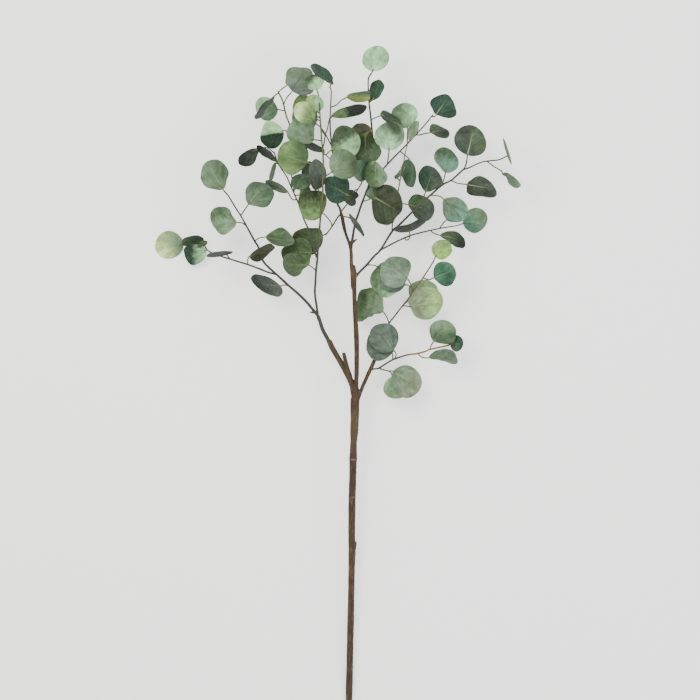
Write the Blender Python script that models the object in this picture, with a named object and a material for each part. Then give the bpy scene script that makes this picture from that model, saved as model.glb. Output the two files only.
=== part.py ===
# Eucalyptus branch, cut and laid on a flat surface: a woody stem that forks
# into five leafy sprays of round silver-dollar leaves.
# Tables are in millimetres: X to the right, Y towards the tips, Z up from the
# surface. The stem's cut end is at the low end of Y.
import math

import bmesh
import bpy
from mathutils import Vector

MM = 0.001

# The blade of a leaf
BLADE_THICKNESS = 0.9
BLADE_RIM_POINTS = 12
BLADE_INNER_SHARE = 0.55
BLADE_BASE_REACH = 0.06
BLADE_CUP = 0.05
BLADE_CUP_SPREAD = 0.06

# A leaf's stalk
STALK_WIDTH = 1.8
STALK_SIDES = 3
STALK_INTO_BLADE = 3.5

TWIG_SIDES = 5
WOOD_SIDES = 10
BUTT_GAP = 0.35  # between the wood's end and the twig that grows on from it

# Woody pieces: points on the centre line, and the width at each point
WOOD = {
    "stem": [
        ((18, -550, 5.0), 10.0),
        ((19, -497, 9.5), 10.5),
        ((20, -431, 15), 10.5),
        ((22, -330, 24), 10.6),
        ((23, -233, 33), 10.8),
        ((24.8, -167, 39), 11.4),
        ((26, -101, 45), 12.0),
        ((26.3, -68, 47.5), 12.6),
        ((27.3, -38, 50), 14.0),
        ((29.5, -10, 52), 8.0),
        ((30, 20, 54), 7.2),
        ((30, 50, 57), 7.0),
        ((29.5, 66, 58), 7.8),
        ((28, 100, 61), 6.4),
        ((27.2, 140, 65), 6.6),
        ((27, 165, 67.5), 7.2),
        ((26.5, 181, 69), 6.6),
        ((26, 188, 69.8), 3.6),
    ],
    "leader": [
        ((25.5, 160, 67), 4.6),
        ((24.5, 185, 70), 4.8),
        ((23.5, 200, 71.5), 4.6),
        ((22, 215, 73), 5.0),
        ((21.6, 221, 73.7), 5.2),
        ((18.8, 229, 75), 4.2),
    ],
    "leader_right": [
        ((22, 217, 73.2), 4.4),
        ((23.4, 222, 74), 4.4),
        ((24.8, 230, 75), 4.0),
    ],
    "left_sleeve": [
        ((27, -42, 50), 8.0),
        ((22, -12, 50), 8.4),
        ((11, 11, 51), 8.2),
        ((2, 29, 53), 8.0),
        ((-9, 49, 56), 8.0),
        ((-15, 61, 58), 6.4),
    ],
    "middle_stub": [
        ((28, -30, 52), 6.0),
        ((22.5, 0, 56), 6.4),
        ((16.2, 17, 60), 6.2),
        ((9, 38, 66), 6.0),
        ((7.6, 42, 67), 3.6),
    ],
    "right_branch": [
        ((29, -44, 49), 6.5),
        ((35, -32, 50), 6.4),
        ((41, -16, 51), 6.2),
        ((48, 2, 52), 6.0),
        ((54, 16, 53), 5.4),
    ],
    "right_bud": [
        ((27, 167, 68.4), 4.8),
        ((34, 174, 69.8), 4.0),
    ],
    "small_stub": [
        ((24, 223, 74), 2.6),
        ((31, 229, 76), 2.0),
    ],
    "old_scar": [
        ((23.4, -302, 27), 5.0),
        ((28.6, -274, 30), 4.6),
        ((29.2, -270, 30.4), 2.4),
    ],
}

# Twigs of each spray: points on the centre line, width at the root and the tip.
# The first twig of a spray grows on from the wood, and the others from a twig.
LEFT_TWIGS = {
    "root": (
        [(-15, 61, 58), (-18, 67, 59.5), (-25, 80, 62), (-30, 95, 65), (-33, 103, 67)],
        5.0, 4.0,
    ),
    "root_stub": ([(-37, 108, 68), (-46, 109.5, 69.5)], 2.6, 2.0),
    "low": (
        [
            (-33, 103, 67), (-50, 124, 71), (-65, 139, 74), (-80, 152, 77), (-92, 163, 79),
            (-103, 173, 79), (-115, 184, 77), (-124, 195, 76), (-131, 216, 80), (-137, 226, 86),
            (-150, 250, 98), (-160, 268, 106), (-169, 282, 111), (-180, 300, 116), (-187, 308, 118),
        ],
        4.0, 2.0,
    ),
    "low_side": (
        [
            (-103, 172, 80), (-115, 175, 80), (-130, 181, 78), (-149, 188, 72), (-165, 193, 64),
            (-178, 197, 56), (-200, 204, 42), (-213, 210, 31), (-228, 220, 18), (-243, 222, 6),
            (-254, 223, 1.6),
        ],
        3.2, 1.8,
    ),
    "tall": (
        [
            (-33, 103, 67), (-35, 118, 72), (-38, 140, 79), (-37, 160, 84), (-36, 178, 89),
            (-34, 196, 94), (-33, 212, 99), (-31, 235, 106), (-30, 250, 110), (-27, 285, 117),
            (-25, 305, 119), (-25, 330, 118), (-24, 350, 116), (-25, 378, 112),
        ],
        4.0, 2.8,
    ),
    "tall_left": (
        [
            (-25, 378, 112), (-26.7, 390, 111.5), (-28, 410, 110), (-30, 440, 108),
            (-31, 460, 105), (-33, 470, 103),
        ],
        2.6, 2.0,
    ),
    "tall_right": (
        [(-25, 378, 112), (-22.5, 388, 111.5), (-20.8, 401, 111), (-17.4, 410, 110), (-14, 428, 108)],
        2.4, 2.0,
    ),
    "tall_cross": ([(-21, 400, 111), (-24.4, 404, 111), (-28, 409, 110)], 2.0, 1.8),
    "tall_hook": (
        [(-25, 372, 112.6), (-21.5, 368, 114), (-18.5, 369, 114), (-11, 375, 113), (-6.5, 367, 112)],
        2.2, 1.8,
    ),
    "tall_spur": ([(-20.5, 368.4, 114), (-17, 364.5, 114), (-9.5, 358.5, 114)], 1.8, 1.8),
    "fan": (
        [
            (-34, 198, 95), (-37, 205, 96), (-45, 235, 97), (-50, 249, 95), (-56, 262, 91),
            (-65.5, 289, 88), (-71.5, 303, 90), (-79, 320, 93), (-85.4, 334, 95), (-98, 353, 97),
            (-105, 373, 97),
        ],
        3.2, 2.0,
    ),
    "fan_top": (
        [
            (-72.5, 305, 90.4), (-72.6, 316, 88), (-76, 333, 85), (-78, 360, 85), (-79, 395, 88), (-80, 418, 91),
            (-85, 432, 93), (-89, 449, 95), (-92, 459, 96), (-99, 473, 97),
        ],
        2.6, 1.8,
    ),
}
CENTRE_LEFT_TWIGS = {
    "main": (
        [
            (18.8, 229, 75), (15, 239.3, 76.8), (9, 255, 81), (6, 268, 84), (3, 280, 86),
            (-1, 289, 87), (-4, 310, 88), (-6, 340, 91), (-8, 365, 95), (-10, 382, 98),
        ],
        4.2, 2.6,
    ),
    "upper": (
        [(-10, 382, 98), (-12, 400, 99), (-13, 425, 100), (-12, 450, 103), (-11, 473, 110), (-14, 479, 114)],
        2.4, 1.8,
    ),
    "over": (
        [(-10, 382, 98), (-15, 391, 107), (-21, 402, 118), (-28, 412, 126), (-37, 419, 129)],
        2.2, 1.8,
    ),
    "side": ([(5, 271, 85), (0, 266, 85), (-10, 250, 83), (-21, 236, 78)], 2.6, 1.8),
    "inner": (
        [(5, 275, 85), (15, 287, 89), (28, 303, 94), (32, 310, 97), (38, 320, 100)],
        2.4, 1.8,
    ),
}
CENTRE_RIGHT_TWIGS = {
    "main": (
        [
            (24.8, 230, 75), (26.5, 240, 76.2), (29, 256, 78), (33, 270, 80), (38, 285, 82),
            (43, 298, 84), (50, 316, 86), (62, 332, 87), (75, 346, 88), (92, 364, 90),
            (102, 374, 91), (115, 387, 92), (128, 401, 93), (140, 414, 94), (150, 426, 95),
            (156, 434, 96),
        ],
        4.0, 1.8,
    ),
    "crown": (
        [
            (50, 316, 86), (57, 345, 80), (60, 375, 78), (57, 400, 82), (54, 430, 92),
            (51, 455, 101), (50, 470, 105), (50, 492, 109), (55, 502, 110.5),
        ],
        3.0, 1.8,
    ),
}
RIGHT_TWIGS = {
    "main": (
        [
            (34, 174, 69.8), (40, 180, 71), (47, 187, 73), (60, 202, 76), (70, 212, 78),
            (89, 242, 83), (100, 252, 84), (120, 272, 86), (135, 288, 86), (150, 300, 85),
            (172, 319, 83), (187, 327, 81), (206, 344, 78),
        ],
        4.0, 2.6,
    ),
    "end_up": ([(206, 344, 78), (210, 350, 79), (213, 363, 83)], 2.2, 1.8),
    "end_out": (
        [(206, 344, 78), (215, 347, 77), (235, 356, 73), (250, 359, 71), (262, 360, 69), (272, 363, 68)],
        2.4, 1.8,
    ),
    "end_down": ([(246, 358, 71.5), (258, 349, 68), (271, 342, 65)], 2.0, 1.6),
    "thin": (
        [
            (89, 242, 83), (90, 258, 84), (95, 285, 87), (99, 308, 91), (103, 330, 97),
            (107, 350, 103), (110, 368, 108), (115, 388, 112),
        ],
        2.2, 1.8,
    ),
    "low": (
        [
            (70, 212, 78), (80, 217, 76), (95, 225, 72), (108, 231, 68), (120, 236, 63),
            (134, 240, 56), (150, 244, 47), (168, 248, 36), (185, 251, 24), (197, 253, 12),
            (205, 256, 3),
        ],
        3.0, 1.8,
    ),
}
LOWER_RIGHT_TWIGS = {
    "main": (
        [
            (54, 16, 53), (58, 24, 53.5), (61, 32, 54), (72, 60, 57), (84, 90, 61),
            (92, 101, 62), (105, 118, 64), (117, 133, 66), (127, 148, 68), (138, 163, 70),
            (148, 178, 72), (158, 194, 75),
        ],
        5.0, 1.8,
    ),
    "low": (
        [
            (56, 20, 53.2), (61, 16.5, 54), (67, 17, 54.5), (80, 25, 55), (93, 32, 55),
            (115, 39, 54), (130, 41, 53), (145, 45, 52), (152, 48, 51), (175, 53, 50),
            (184, 55, 50),
        ],
        3.6, 1.8,
    ),
}

# Leaves of each spray: the twig, the stalk's points seen from above from the
# twig to the blade, the height where the blade starts, the blade's middle, the
# direction in degrees in which the blade climbs, and its long and short width
# as seen from above. A short width far under the long one is a steep blade.
LEFT_LEAVES = [
    ("low", [(-186, 307), (-189, 311)], 119, (-203, 336), 120, 50, 47),
    ("low", [(-160, 268), (-150, 288)], 110, (-131, 305), 127, 49, 41),
    ("low", [(-150, 250), (-158, 256), (-167, 257)], 98, (-190.5, 261), 0, 48, 43),
    ("low", [(-137, 226), (-130, 231), (-119, 231)], 98, (-94, 230), -100, 50, 31),
    ("low_side", [(-149, 188), (-149, 194), (-146, 200)], 95, (-125, 208), 118, 48, 22),
    ("low", [(-80, 152), (-88, 154), (-93, 155)], 80, (-116.5, 155), 58, 60, 26),
    ("low_side", [(-178, 197), (-183, 200)], 58, (-195, 206), 99, 46, 8),
    ("low_side", [(-252, 223), (-257, 223)], 0.45, (-280.5, 221), 0, 46.5, 46.5),
    ("low_side", [(-225, 218), (-224, 222)], 22, (-240, 229), 105, 38, 17),
    ("low_side", [(-211, 209), (-217, 208)], 31, (-235, 206), 90, 40, 32),
    ("low_side", [(-216, 213), (-219, 217)], 33, (-224, 222), 120, 20, 9),
    ("tall", [(-36, 177), (-42, 183), (-49, 188)], 96, (-72, 187), 200, 46, 40),
    ("fan", [(-38, 209), (-44, 207)], 86, (-67, 209), 0, 48, 46),
    ("fan", [(-69, 295), (-73, 294), (-77.5, 298), (-82.4, 309)], 96, (-101, 317), 62, 40, 14),
    ("fan", [(-98, 353), (-103, 354)], 106, (-108, 340), 165, 32, 8),
    ("fan", [(-99, 355), (-102, 359)], 102, (-117, 371), 54, 40, 13),
    ("fan", [(-104, 371), (-118, 380), (-133, 377)], 95, (-149, 364), 127, 38, 25),
    ("tall", [(-25, 345), (-38, 350), (-50, 355)], 114, (-75.5, 362), 180, 57, 50),
    ("tall", [(-27, 296), (-31, 303), (-33, 309)], 98, (-35, 335), 180, 53, 30),
    ("fan_top", [(-72.5, 311), (-69, 313)], 88, (-61, 325), 90, 34, 26),
    ("fan_top", [(-75, 328), (-64, 329), (-57, 332)], 84, (-48, 341), 180, 34, 24),
    ("fan", [(-71, 302), (-65, 302)], 83, (-54, 306), 180, 26, 20),
    ("fan_top", [(-79, 402), (-83, 405), (-88, 405)], 98, (-108, 403), 80, 44, 40),
    ("fan_top", [(-98, 470), (-105, 466)], 98, (-122, 447), -41, 48, 16),
    ("fan_top", [(-88, 440), (-98, 443)], 84, (-116, 444), 0, 42, 37),
    ("fan_top", [(-89, 451), (-84, 462), (-77, 470)], 105, (-63, 488), 240, 49, 47),
    ("fan_top", [(-98, 471), (-92, 477), (-85, 483)], 84, (-70, 494), -60, 34, 28),
    ("tall_left", [(-33, 469), (-34, 474)], 99, (-41, 488), 90, 34, 31),
    ("tall_left", [(-27, 391), (-41, 391)], 108, (-61, 408), 140, 48, 45),
    ("tall", [(-25, 366), (-22, 373)], 108, (-41, 380), 250, 40, 14),
    ("tall_left", [(-29, 424), (-31, 426)], 89, (-54, 430), 0, 48, 42),
    ("tall_left", [(-30, 436), (-34, 440)], 98, (-38, 453), 60, 31, 27),
    ("tall_left", [(-29, 428), (-38, 438)], 96, (-57, 448), 0, 42, 31),
    ("tall_right", [(-15, 424), (-10, 430)], 108, (19, 440), 103, 59, 18),
    ("tall", [(-24, 329), (-13, 337)], 120, (10, 352), 37, 52, 46),
]
CENTRE_LEFT_LEAVES = [
    ("side", [(-18, 240), (-24, 234)], 76, (-49, 224), -30, 55, 48),
    ("side", [(-10, 250), (-12, 258), (-20, 269)], 92, (-43, 285), 150, 50, 49),
    ("inner", [(26, 301), (17, 301)], 97, (-3, 312), 90, 46, 42),
    ("inner", [(33, 312), (27, 309)], 102, (21, 298), 60, 28, 26),
    ("main", [(7, 268), (20, 264), (27, 259)], 90, (31.5, 254), 34, 46, 8),
    ("inner", [(35, 315), (40, 322)], 99, (37, 342), 180, 36, 27),
    ("main", [(-9, 372), (-7, 376)], 101, (14, 390), 45, 57, 50),
    ("upper", [(-12, 446), (-2, 450), (5, 457), (15, 463)], 118, (34, 464), 90, 38, 20),
    ("upper", [(-14, 478), (-11, 483)], 122, (-27, 500), 226, 46, 22),
    ("over", [(-35, 417), (-39, 421)], 130, (-55, 437), 120, 37, 35),
]
CENTRE_RIGHT_LEAVES = [
    ("crown", [(57, 402), (50, 405), (45, 401)], 101, (45, 377), 90, 51, 48),
    ("crown", [(57, 404), (53, 408)], 84, (39, 403), 0, 40, 33),
    ("crown", [(58, 351), (61, 356)], 96, (62, 336), -90, 42, 39),
    ("main", [(41, 291), (46, 293), (51, 298)], 90, (59, 306), -60, 26, 24),
    ("main", [(45, 303), (50, 300), (56, 299)], 94, (82, 285), 0, 64, 51),
    ("crown", [(51, 454), (55, 458)], 108, (64, 474), -31, 36, 24),
    ("crown", [(54, 500), (57, 506)], 112, (62, 527), 90, 45, 44),
    ("crown", [(55, 426), (62, 429), (71, 430)], 124, (91, 420), -137, 48, 20),
    ("main", [(81, 352), (83, 365), (84, 377)], 97, (83, 401), 90, 51, 49),
    ("main", [(154, 431), (158, 437)], 98, (172, 449), 110, 44, 37),
    ("main", [(128, 401), (135, 401), (142, 403), (150, 406)], 92, (166, 408), 90, 34, 23),
    ("main", [(102, 374), (110, 368), (117, 361)], 88, (122, 337), 0, 49, 20),
]
RIGHT_LEAVES = [
    ("thin", [(90, 256), (92, 261)], 80, (78, 276), 0, 44, 38),
    ("thin", [(114, 386), (114, 396), (112, 404)], 89, (111, 433), 0, 43, 42),
    ("thin", [(115, 387), (118, 392)], 114, (124, 408), -24, 34, 16),
    ("thin", [(102, 325), (99, 329)], 102, (103, 340), -35, 28, 11),
    ("main", [(139, 291), (142, 301), (145, 308)], 92, (152, 330), 90, 43, 41),
    ("thin", [(95, 287), (104, 288), (113, 287)], 78, (135.5, 282), 180, 48, 45),
    ("low", [(110, 232), (113, 228), (118, 232), (119, 240)], 68, (120, 249), -72, 57, 17),
    ("main", [(152, 302), (168, 300), (177, 294)], 80, (194, 280), 90, 43, 41),
    ("low", [(168, 248), (172, 254), (177, 261)], 44, (192, 269), 90, 36, 30),
    ("low", [(203, 255), (208, 257)], 0.45, (229, 261.5), 0, 42.5, 42.5),
    ("end_up", [(213, 361), (213, 367)], 86, (218.5, 391.5), 90, 54, 50),
    ("low", [(153, 245), (158, 240), (170, 238)], 45, (191, 230), 62, 44, 30),
    ("end_out", [(270, 362), (276, 366)], 69, (278.5, 374), 18, 48, 6),
    ("end_down", [(269, 343), (274, 338)], 64, (288, 328.5), 55, 36, 12),
    ("main", [(171, 318), (175, 330), (177, 340)], 89, (178.5, 361), 90, 42, 40),
    ("main", [(185, 326), (190, 325), (196, 322), (212, 320)], 78, (236.5, 316), 90, 50, 36),
    ("main", [(47, 187), (58, 187), (64, 186)], 74, (76, 164), 120, 55, 48),
]
LOWER_RIGHT_LEAVES = [
    ("low", [(67, 17), (75, 14), (83, 13), (92, 13)], 60, (113, -3), 142, 55, 50),
    ("low", [(72, 20), (80, 10), (90, 3)], 42, (95, -15), 90, 40, 37),
    ("low", [(93, 32), (96, 40), (90, 47)], 72, (77, 68), 90, 48, 46),
    ("low", [(90, 31), (90, 38), (88, 42)], 59, (69, 53), 150, 49, 48),
    ("low", [(132, 41), (137, 36), (145, 34), (151, 34)], 50, (175, 38), 90, 48, 30),
    ("low", [(152, 48), (153, 53), (158, 61)], 58, (174, 77), 60, 45, 41),
    ("low", [(182, 55), (187, 57)], 51, (197, 58), 0, 29, 21),
    ("main", [(84, 90), (82, 98), (79, 104), (73, 111)], 54, (53, 121), 0, 58, 44),
    ("main", [(107, 121), (112, 125), (117, 131)], 36, (139, 141), 180, 48, 43),
    ("main", [(105, 118), (110, 120), (118, 122)], 50, (146, 124), 90, 54, 52),
    ("main", [(140, 166), (150, 163), (157, 166)], 75, (176, 173), 90, 41, 39),
    ("main", [(157, 192), (160, 198)], 79, (170, 213), 90, 34, 31),
    ("main", [(124, 144), (120, 155), (113, 163)], 78, (96, 177), 180, 50, 47),
    ("main", [(122, 148), (115, 154), (109, 157)], 66, (90, 161), 100, 42, 38),
]

SPRAYS = {
    "spray_left": (LEFT_TWIGS, LEFT_LEAVES),
    "spray_centre_left": (CENTRE_LEFT_TWIGS, CENTRE_LEFT_LEAVES),
    "spray_centre_right": (CENTRE_RIGHT_TWIGS, CENTRE_RIGHT_LEAVES),
    "spray_right": (RIGHT_TWIGS, RIGHT_LEAVES),
    "spray_lower_right": (LOWER_RIGHT_TWIGS, LOWER_RIGHT_LEAVES),
}

BARK = ("bark", (0.16, 0.09, 0.055, 1.0), 0.85)
LEAF = ("leaf", (0.17, 0.26, 0.15, 1.0), 0.5)


def clear_scene():
    for thing in list(bpy.data.objects):
        bpy.data.objects.remove(thing, do_unlink=True)


def material(name, colour, roughness):
    made = bpy.data.materials.new(name)
    made.use_nodes = True
    shader = made.node_tree.nodes["Principled BSDF"]
    shader.inputs["Base Color"].default_value = colour
    shader.inputs["Roughness"].default_value = roughness
    shader.inputs["Metallic"].default_value = 0.0
    return made


def mesh_object(name, points, faces, collection):
    """An object of closed faces, from points in millimetres."""
    mesh = bpy.data.meshes.new(name)
    mesh.from_pydata([tuple(point * MM) for point in points], [], faces)
    made = bpy.data.objects.new(name, mesh)
    collection.objects.link(made)
    shape = bmesh.new()
    shape.from_mesh(mesh)
    bmesh.ops.recalc_face_normals(shape, faces=shape.faces)
    shape.to_mesh(mesh)
    shape.free()
    return made


def tube(name, centres, widths, sides, collection):
    """A closed tube round a centre line, with a width at each of its points."""
    points = []
    for index, centre in enumerate(centres):
        before = centres[max(index - 1, 0)]
        after = centres[min(index + 1, len(centres) - 1)]
        along = (after - before).normalized()
        side = along.cross(Vector((0, 0, 1)))
        if side.length < 1e-3:
            side = Vector((1, 0, 0))
        side.normalize()
        up = side.cross(along)
        for step in range(sides):
            turn = 2 * math.pi * (step + 0.5) / sides
            out = side * math.cos(turn) + up * math.sin(turn)
            points.append(centre + out * widths[index] / 2)
    faces = [tuple(range(sides))]
    for ring in range(len(centres) - 1):
        low = ring * sides
        for step in range(sides):
            after = (step + 1) % sides
            faces.append((low + step, low + after, low + sides + after, low + sides + step))
    last = (len(centres) - 1) * sides
    faces.append(tuple(range(last, last + sides)))
    return mesh_object(name, points, faces, collection)


def twig_tube(name, centres, first_width, last_width, collection):
    runs = [0.0]
    for before, after in zip(centres, centres[1:]):
        runs.append(runs[-1] + (after - before).length)
    widths = [first_width + (last_width - first_width) * run / runs[-1] for run in runs]
    return tube(name, centres, widths, TWIG_SIDES, collection)


def height_on(centres, place):
    """The twig's height where it passes nearest to a place seen from above."""
    nearest = None
    for before, after in zip(centres, centres[1:]):
        step = (after - before).to_2d()
        share = max(0.0, min(1.0, (place - before.to_2d()).dot(step) / step.length_squared))
        point = before.lerp(after, share)
        gap = (point.to_2d() - place).length
        if nearest is None or gap < nearest[0]:
            nearest = (gap, point)
    return nearest[1]


def blade_axes(base, middle, climb, long_width, short_width):
    """Unit vectors from base to tip, across, and out of the upper face."""
    turn = math.radians(climb)
    flat = min(1.0, short_width / long_width)
    rise = math.sqrt(1.0 - flat * flat)
    uphill = Vector((math.cos(turn), math.sin(turn)))
    level_axis = Vector((-uphill.y, uphill.x, 0.0))
    climb_axis = Vector((uphill.x * flat, uphill.y * flat, rise))
    radius = long_width / 2
    offset = base - middle
    level = max(-0.98 * radius, min(0.98 * radius, offset.dot(level_axis.to_2d())))
    climbed = math.copysign(math.sqrt(radius * radius - level * level), offset.dot(uphill))
    forward = -(level_axis * level + climb_axis * climbed) / radius
    upper = Vector((-uphill.x * rise, -uphill.y * rise, flat))
    return forward, upper.cross(forward), upper


def blade(name, start, forward, across, upper, radius, cup, collection):
    """A round blade that starts at its stalk, split alike on both faces."""
    middle = start + forward * radius
    inner_points = BLADE_RIM_POINTS // 2
    layer = [middle - upper * cup * radius]
    for count, share in ((inner_points, BLADE_INNER_SHARE), (BLADE_RIM_POINTS, 1.0)):
        for step in range(count):
            turn = 2 * math.pi * step / count
            reach = 1.0 + BLADE_BASE_REACH * max(0.0, -math.cos(turn)) ** 9
            out = (forward * math.cos(turn) + across * math.sin(turn)) * radius * reach * share
            layer.append(middle + out + upper * cup * radius * (2 * share * share - 1.0))
    half = upper * BLADE_THICKNESS / 2
    points = [point + half for point in layer] + [point - half for point in layer]
    below = len(layer)
    rim = 1 + inner_points
    faces = []
    for step in range(inner_points):
        here, after = 1 + step, 1 + (step + 1) % inner_points
        first, second = rim + 2 * step, rim + 2 * step + 1
        third = rim + (2 * step + 2) % BLADE_RIM_POINTS
        for one in ((0, here, after), (here, first, second), (here, second, after), (after, second, third)):
            faces.append(one)
            faces.append(tuple(below + corner for corner in reversed(one)))
    for step in range(BLADE_RIM_POINTS):
        one, two = rim + step, rim + (step + 1) % BLADE_RIM_POINTS
        faces.append((one, below + one, below + two))
        faces.append((one, below + two, two))
    return mesh_object(name, points, faces, collection)


def leaf(name, number, twig, row, collection):
    """One leaf: its blade, and a stalk sunk into the twig and the blade."""
    stalk, height, middle, climb, long_width, short_width = row
    middle = Vector(middle)
    forward, across, upper = blade_axes(Vector(stalk[-1]), middle, climb, long_width, short_width)
    radius = long_width / 2
    start = (middle - forward.to_2d() * radius).to_3d()
    start.z = height
    lies_flat = short_width == long_width
    cup = 0.0 if lies_flat else BLADE_CUP + BLADE_CUP_SPREAD * math.sin(2.4 * number)
    blade(name + "_blade", start, forward, across, upper, radius, cup, collection)
    root = height_on(twig, Vector(stalk[0]))
    route = [root]
    between = stalk[1:-1]
    for step, place in enumerate(between):
        share = (step + 1) / (len(between) + 1)
        route.append(Vector((place[0], place[1], root.z + (height - root.z) * share)))
    seat = start + upper * cup * radius
    seat.z = max(seat.z, STALK_WIDTH / 2)
    route.append(seat)
    route.append(seat + forward * STALK_INTO_BLADE - upper * cup * STALK_INTO_BLADE * 2)
    widths = [STALK_WIDTH] * len(route)
    return tube(name + "_stalk", route, widths, STALK_SIDES, collection)


def fused(name, body, parts, finish):
    """One solid: the body and all the parts, joined by one Boolean union."""
    join = body.modifiers.new("join", "BOOLEAN")
    join.operation = "UNION"
    join.operand_type = "COLLECTION"
    join.collection = parts
    join.solver = "EXACT"
    graph = bpy.context.evaluated_depsgraph_get()
    whole = bpy.data.meshes.new_from_object(body.evaluated_get(graph))
    for thing in list(parts.objects) + [body]:
        bpy.data.objects.remove(thing, do_unlink=True)
    bpy.data.collections.remove(parts)
    made = bpy.data.objects.new(name, whole)
    whole.materials.clear()
    whole.materials.append(finish)
    bpy.context.scene.collection.objects.link(made)
    return made


def gathering(name):
    made = bpy.data.collections.new(name)
    bpy.context.scene.collection.children.link(made)
    return made


def stem(finish):
    """The woody stem with its sleeves, stubs and the fork at its top."""
    parts = gathering("stem_parts")
    body = None
    for name, rows in WOOD.items():
        centres = [Vector(point) for point, _ in rows]
        widths = [width for _, width in rows]
        home = bpy.context.scene.collection if body is None else parts
        made = tube(name, centres, widths, WOOD_SIDES, home)
        body = body or made
    return fused("stem", body, parts, finish)


def spray(name, twigs, leaves, finish):
    """A leafy spray, from its own twigs and leaves."""
    parts = gathering(name + "_parts")
    body = None
    lines = {}
    for twig, (points, first_width, last_width) in twigs.items():
        centres = [Vector(point) for point in points]
        home = parts
        if body is None:
            centres[0] += (centres[1] - centres[0]).normalized() * BUTT_GAP
            home = bpy.context.scene.collection
        made = twig_tube(twig, centres, first_width, last_width, home)
        body = body or made
        lines[twig] = centres
    for number, row in enumerate(leaves):
        leaf(f"leaf_{number}", number, lines[row[0]], row[1:], parts)
    return fused(name, body, parts, finish)


def main():
    clear_scene()
    bark = material(*BARK)
    green = material(*LEAF)
    stem(bark)
    for name, (twigs, leaves) in SPRAYS.items():
        spray(name, twigs, leaves, green)


main()
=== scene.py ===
# A cut eucalyptus branch lying on a pale floor, seen from above.
# Lengths in the tables are millimetres, in the frame's own axes.
import math
from functools import partial

import bmesh
import bpy
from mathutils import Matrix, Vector


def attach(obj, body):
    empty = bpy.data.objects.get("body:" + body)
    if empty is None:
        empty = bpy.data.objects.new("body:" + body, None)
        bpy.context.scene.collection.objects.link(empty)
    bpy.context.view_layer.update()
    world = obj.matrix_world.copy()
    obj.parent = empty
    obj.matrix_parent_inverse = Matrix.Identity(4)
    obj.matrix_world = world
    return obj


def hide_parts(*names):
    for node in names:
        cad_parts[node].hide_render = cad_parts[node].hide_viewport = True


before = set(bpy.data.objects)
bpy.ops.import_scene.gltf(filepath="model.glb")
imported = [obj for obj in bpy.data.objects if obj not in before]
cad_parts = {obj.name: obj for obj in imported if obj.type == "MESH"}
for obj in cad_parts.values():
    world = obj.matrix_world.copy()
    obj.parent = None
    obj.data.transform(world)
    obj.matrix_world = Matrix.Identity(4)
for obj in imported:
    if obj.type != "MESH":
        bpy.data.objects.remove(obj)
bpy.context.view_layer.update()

mm = 0.001
print("frame loaded")


def toLinear(hexColour):
    parts = [int(hexColour[i:i + 2], 16) / 255 for i in (1, 3, 5)]
    return [v / 12.92 if v < 0.04045 else ((v + 0.055) / 1.055) ** 2.4 for v in parts] + [1.0]


def feed(node, inputs):
    # inputs by name or in order: a value, a socket, or a node for its first open output
    for key, value in (inputs.items() if isinstance(inputs, dict) else enumerate(inputs)):
        if isinstance(key, int):
            socket = node.inputs[key]
        else:
            socket = next(s for s in node.inputs if s.name == key and s.enabled)
        if isinstance(value, bpy.types.Node):
            value = next(s for s in value.outputs if s.enabled)
        if isinstance(value, bpy.types.NodeSocket):
            node.id_data.links.new(value, socket)
        else:
            socket.default_value = value


def addNode(tree, kind, inputs=(), **settings):
    # a shader node goes by its short name, with its operation after it, such as "Math ADD"
    kind, *operation = kind.split()
    node = tree.nodes.new(kind if "Node" in kind else "ShaderNode" + kind)
    if operation:
        node.operation = operation[0]
    for name, value in settings.items():
        setattr(node, name, value)
    feed(node, inputs)
    return node


def newMaterial(name):
    material = bpy.data.materials.new(name)
    material.use_nodes = True
    tree = material.node_tree
    return material, tree.nodes["Principled BSDF"], partial(addNode, tree)


def place(name, data):
    thing = bpy.data.objects.new(name, data)
    bpy.context.scene.collection.objects.link(thing)
    return thing


# Camera and light
studio = {
    "aim": (19.8, 47.0, 60.0),    # middle of the picture, mm
    "height": 12000.0,            # mm above the aim, so that tall leaves keep their place
    "viewWidth": 1155.0,          # mm across the picture at the aim
    "sensor": 36.0,
    "clip": (0.05, 60),           # m
    "worldStrength": 1.0,
    "worldColour": "#fbfdff",
    "lamps": [                    # name, place mm, size mm, watts, colour
        ("key", (-900, 1300, 2600), 1500, 72, "#fffaf2"),
        ("fill", (1500, -300, 2200), 2200, 30, "#f4f8ff"),
    ],
    "floorSize": 6000.0,
    "floorColour": "#fbfbf9",
    "floorRoughness": 0.9,
    "floorGlow": 0.7,             # a light table, so that little shadow shows
}


def makeCamera():
    data = bpy.data.cameras.new("camera")
    data.sensor_width = studio["sensor"]
    data.lens = studio["sensor"] * studio["height"] / studio["viewWidth"]
    data.clip_start, data.clip_end = studio["clip"]
    camera = place("camera", data)
    x, y, z = studio["aim"]
    camera.location = (x * mm, y * mm, (z + studio["height"]) * mm)
    bpy.context.scene.camera = camera


def makeLight():
    world = bpy.data.worlds.new("studio")
    world.use_nodes = True
    feed(world.node_tree.nodes["Background"], {
        "Color": toLinear(studio["worldColour"]), "Strength": studio["worldStrength"]})
    bpy.context.scene.world = world
    for name, spot, size, watts, colour in studio["lamps"]:
        data = bpy.data.lights.new(name, "AREA")
        data.size = size * mm
        data.energy = watts
        data.color = toLinear(colour)[:3]
        lamp = place(name, data)
        lamp.location = Vector(spot) * mm
        beam = Vector(studio["aim"]) * mm - lamp.location
        lamp.rotation_euler = beam.to_track_quat("-Z", "Y").to_euler()


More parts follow.
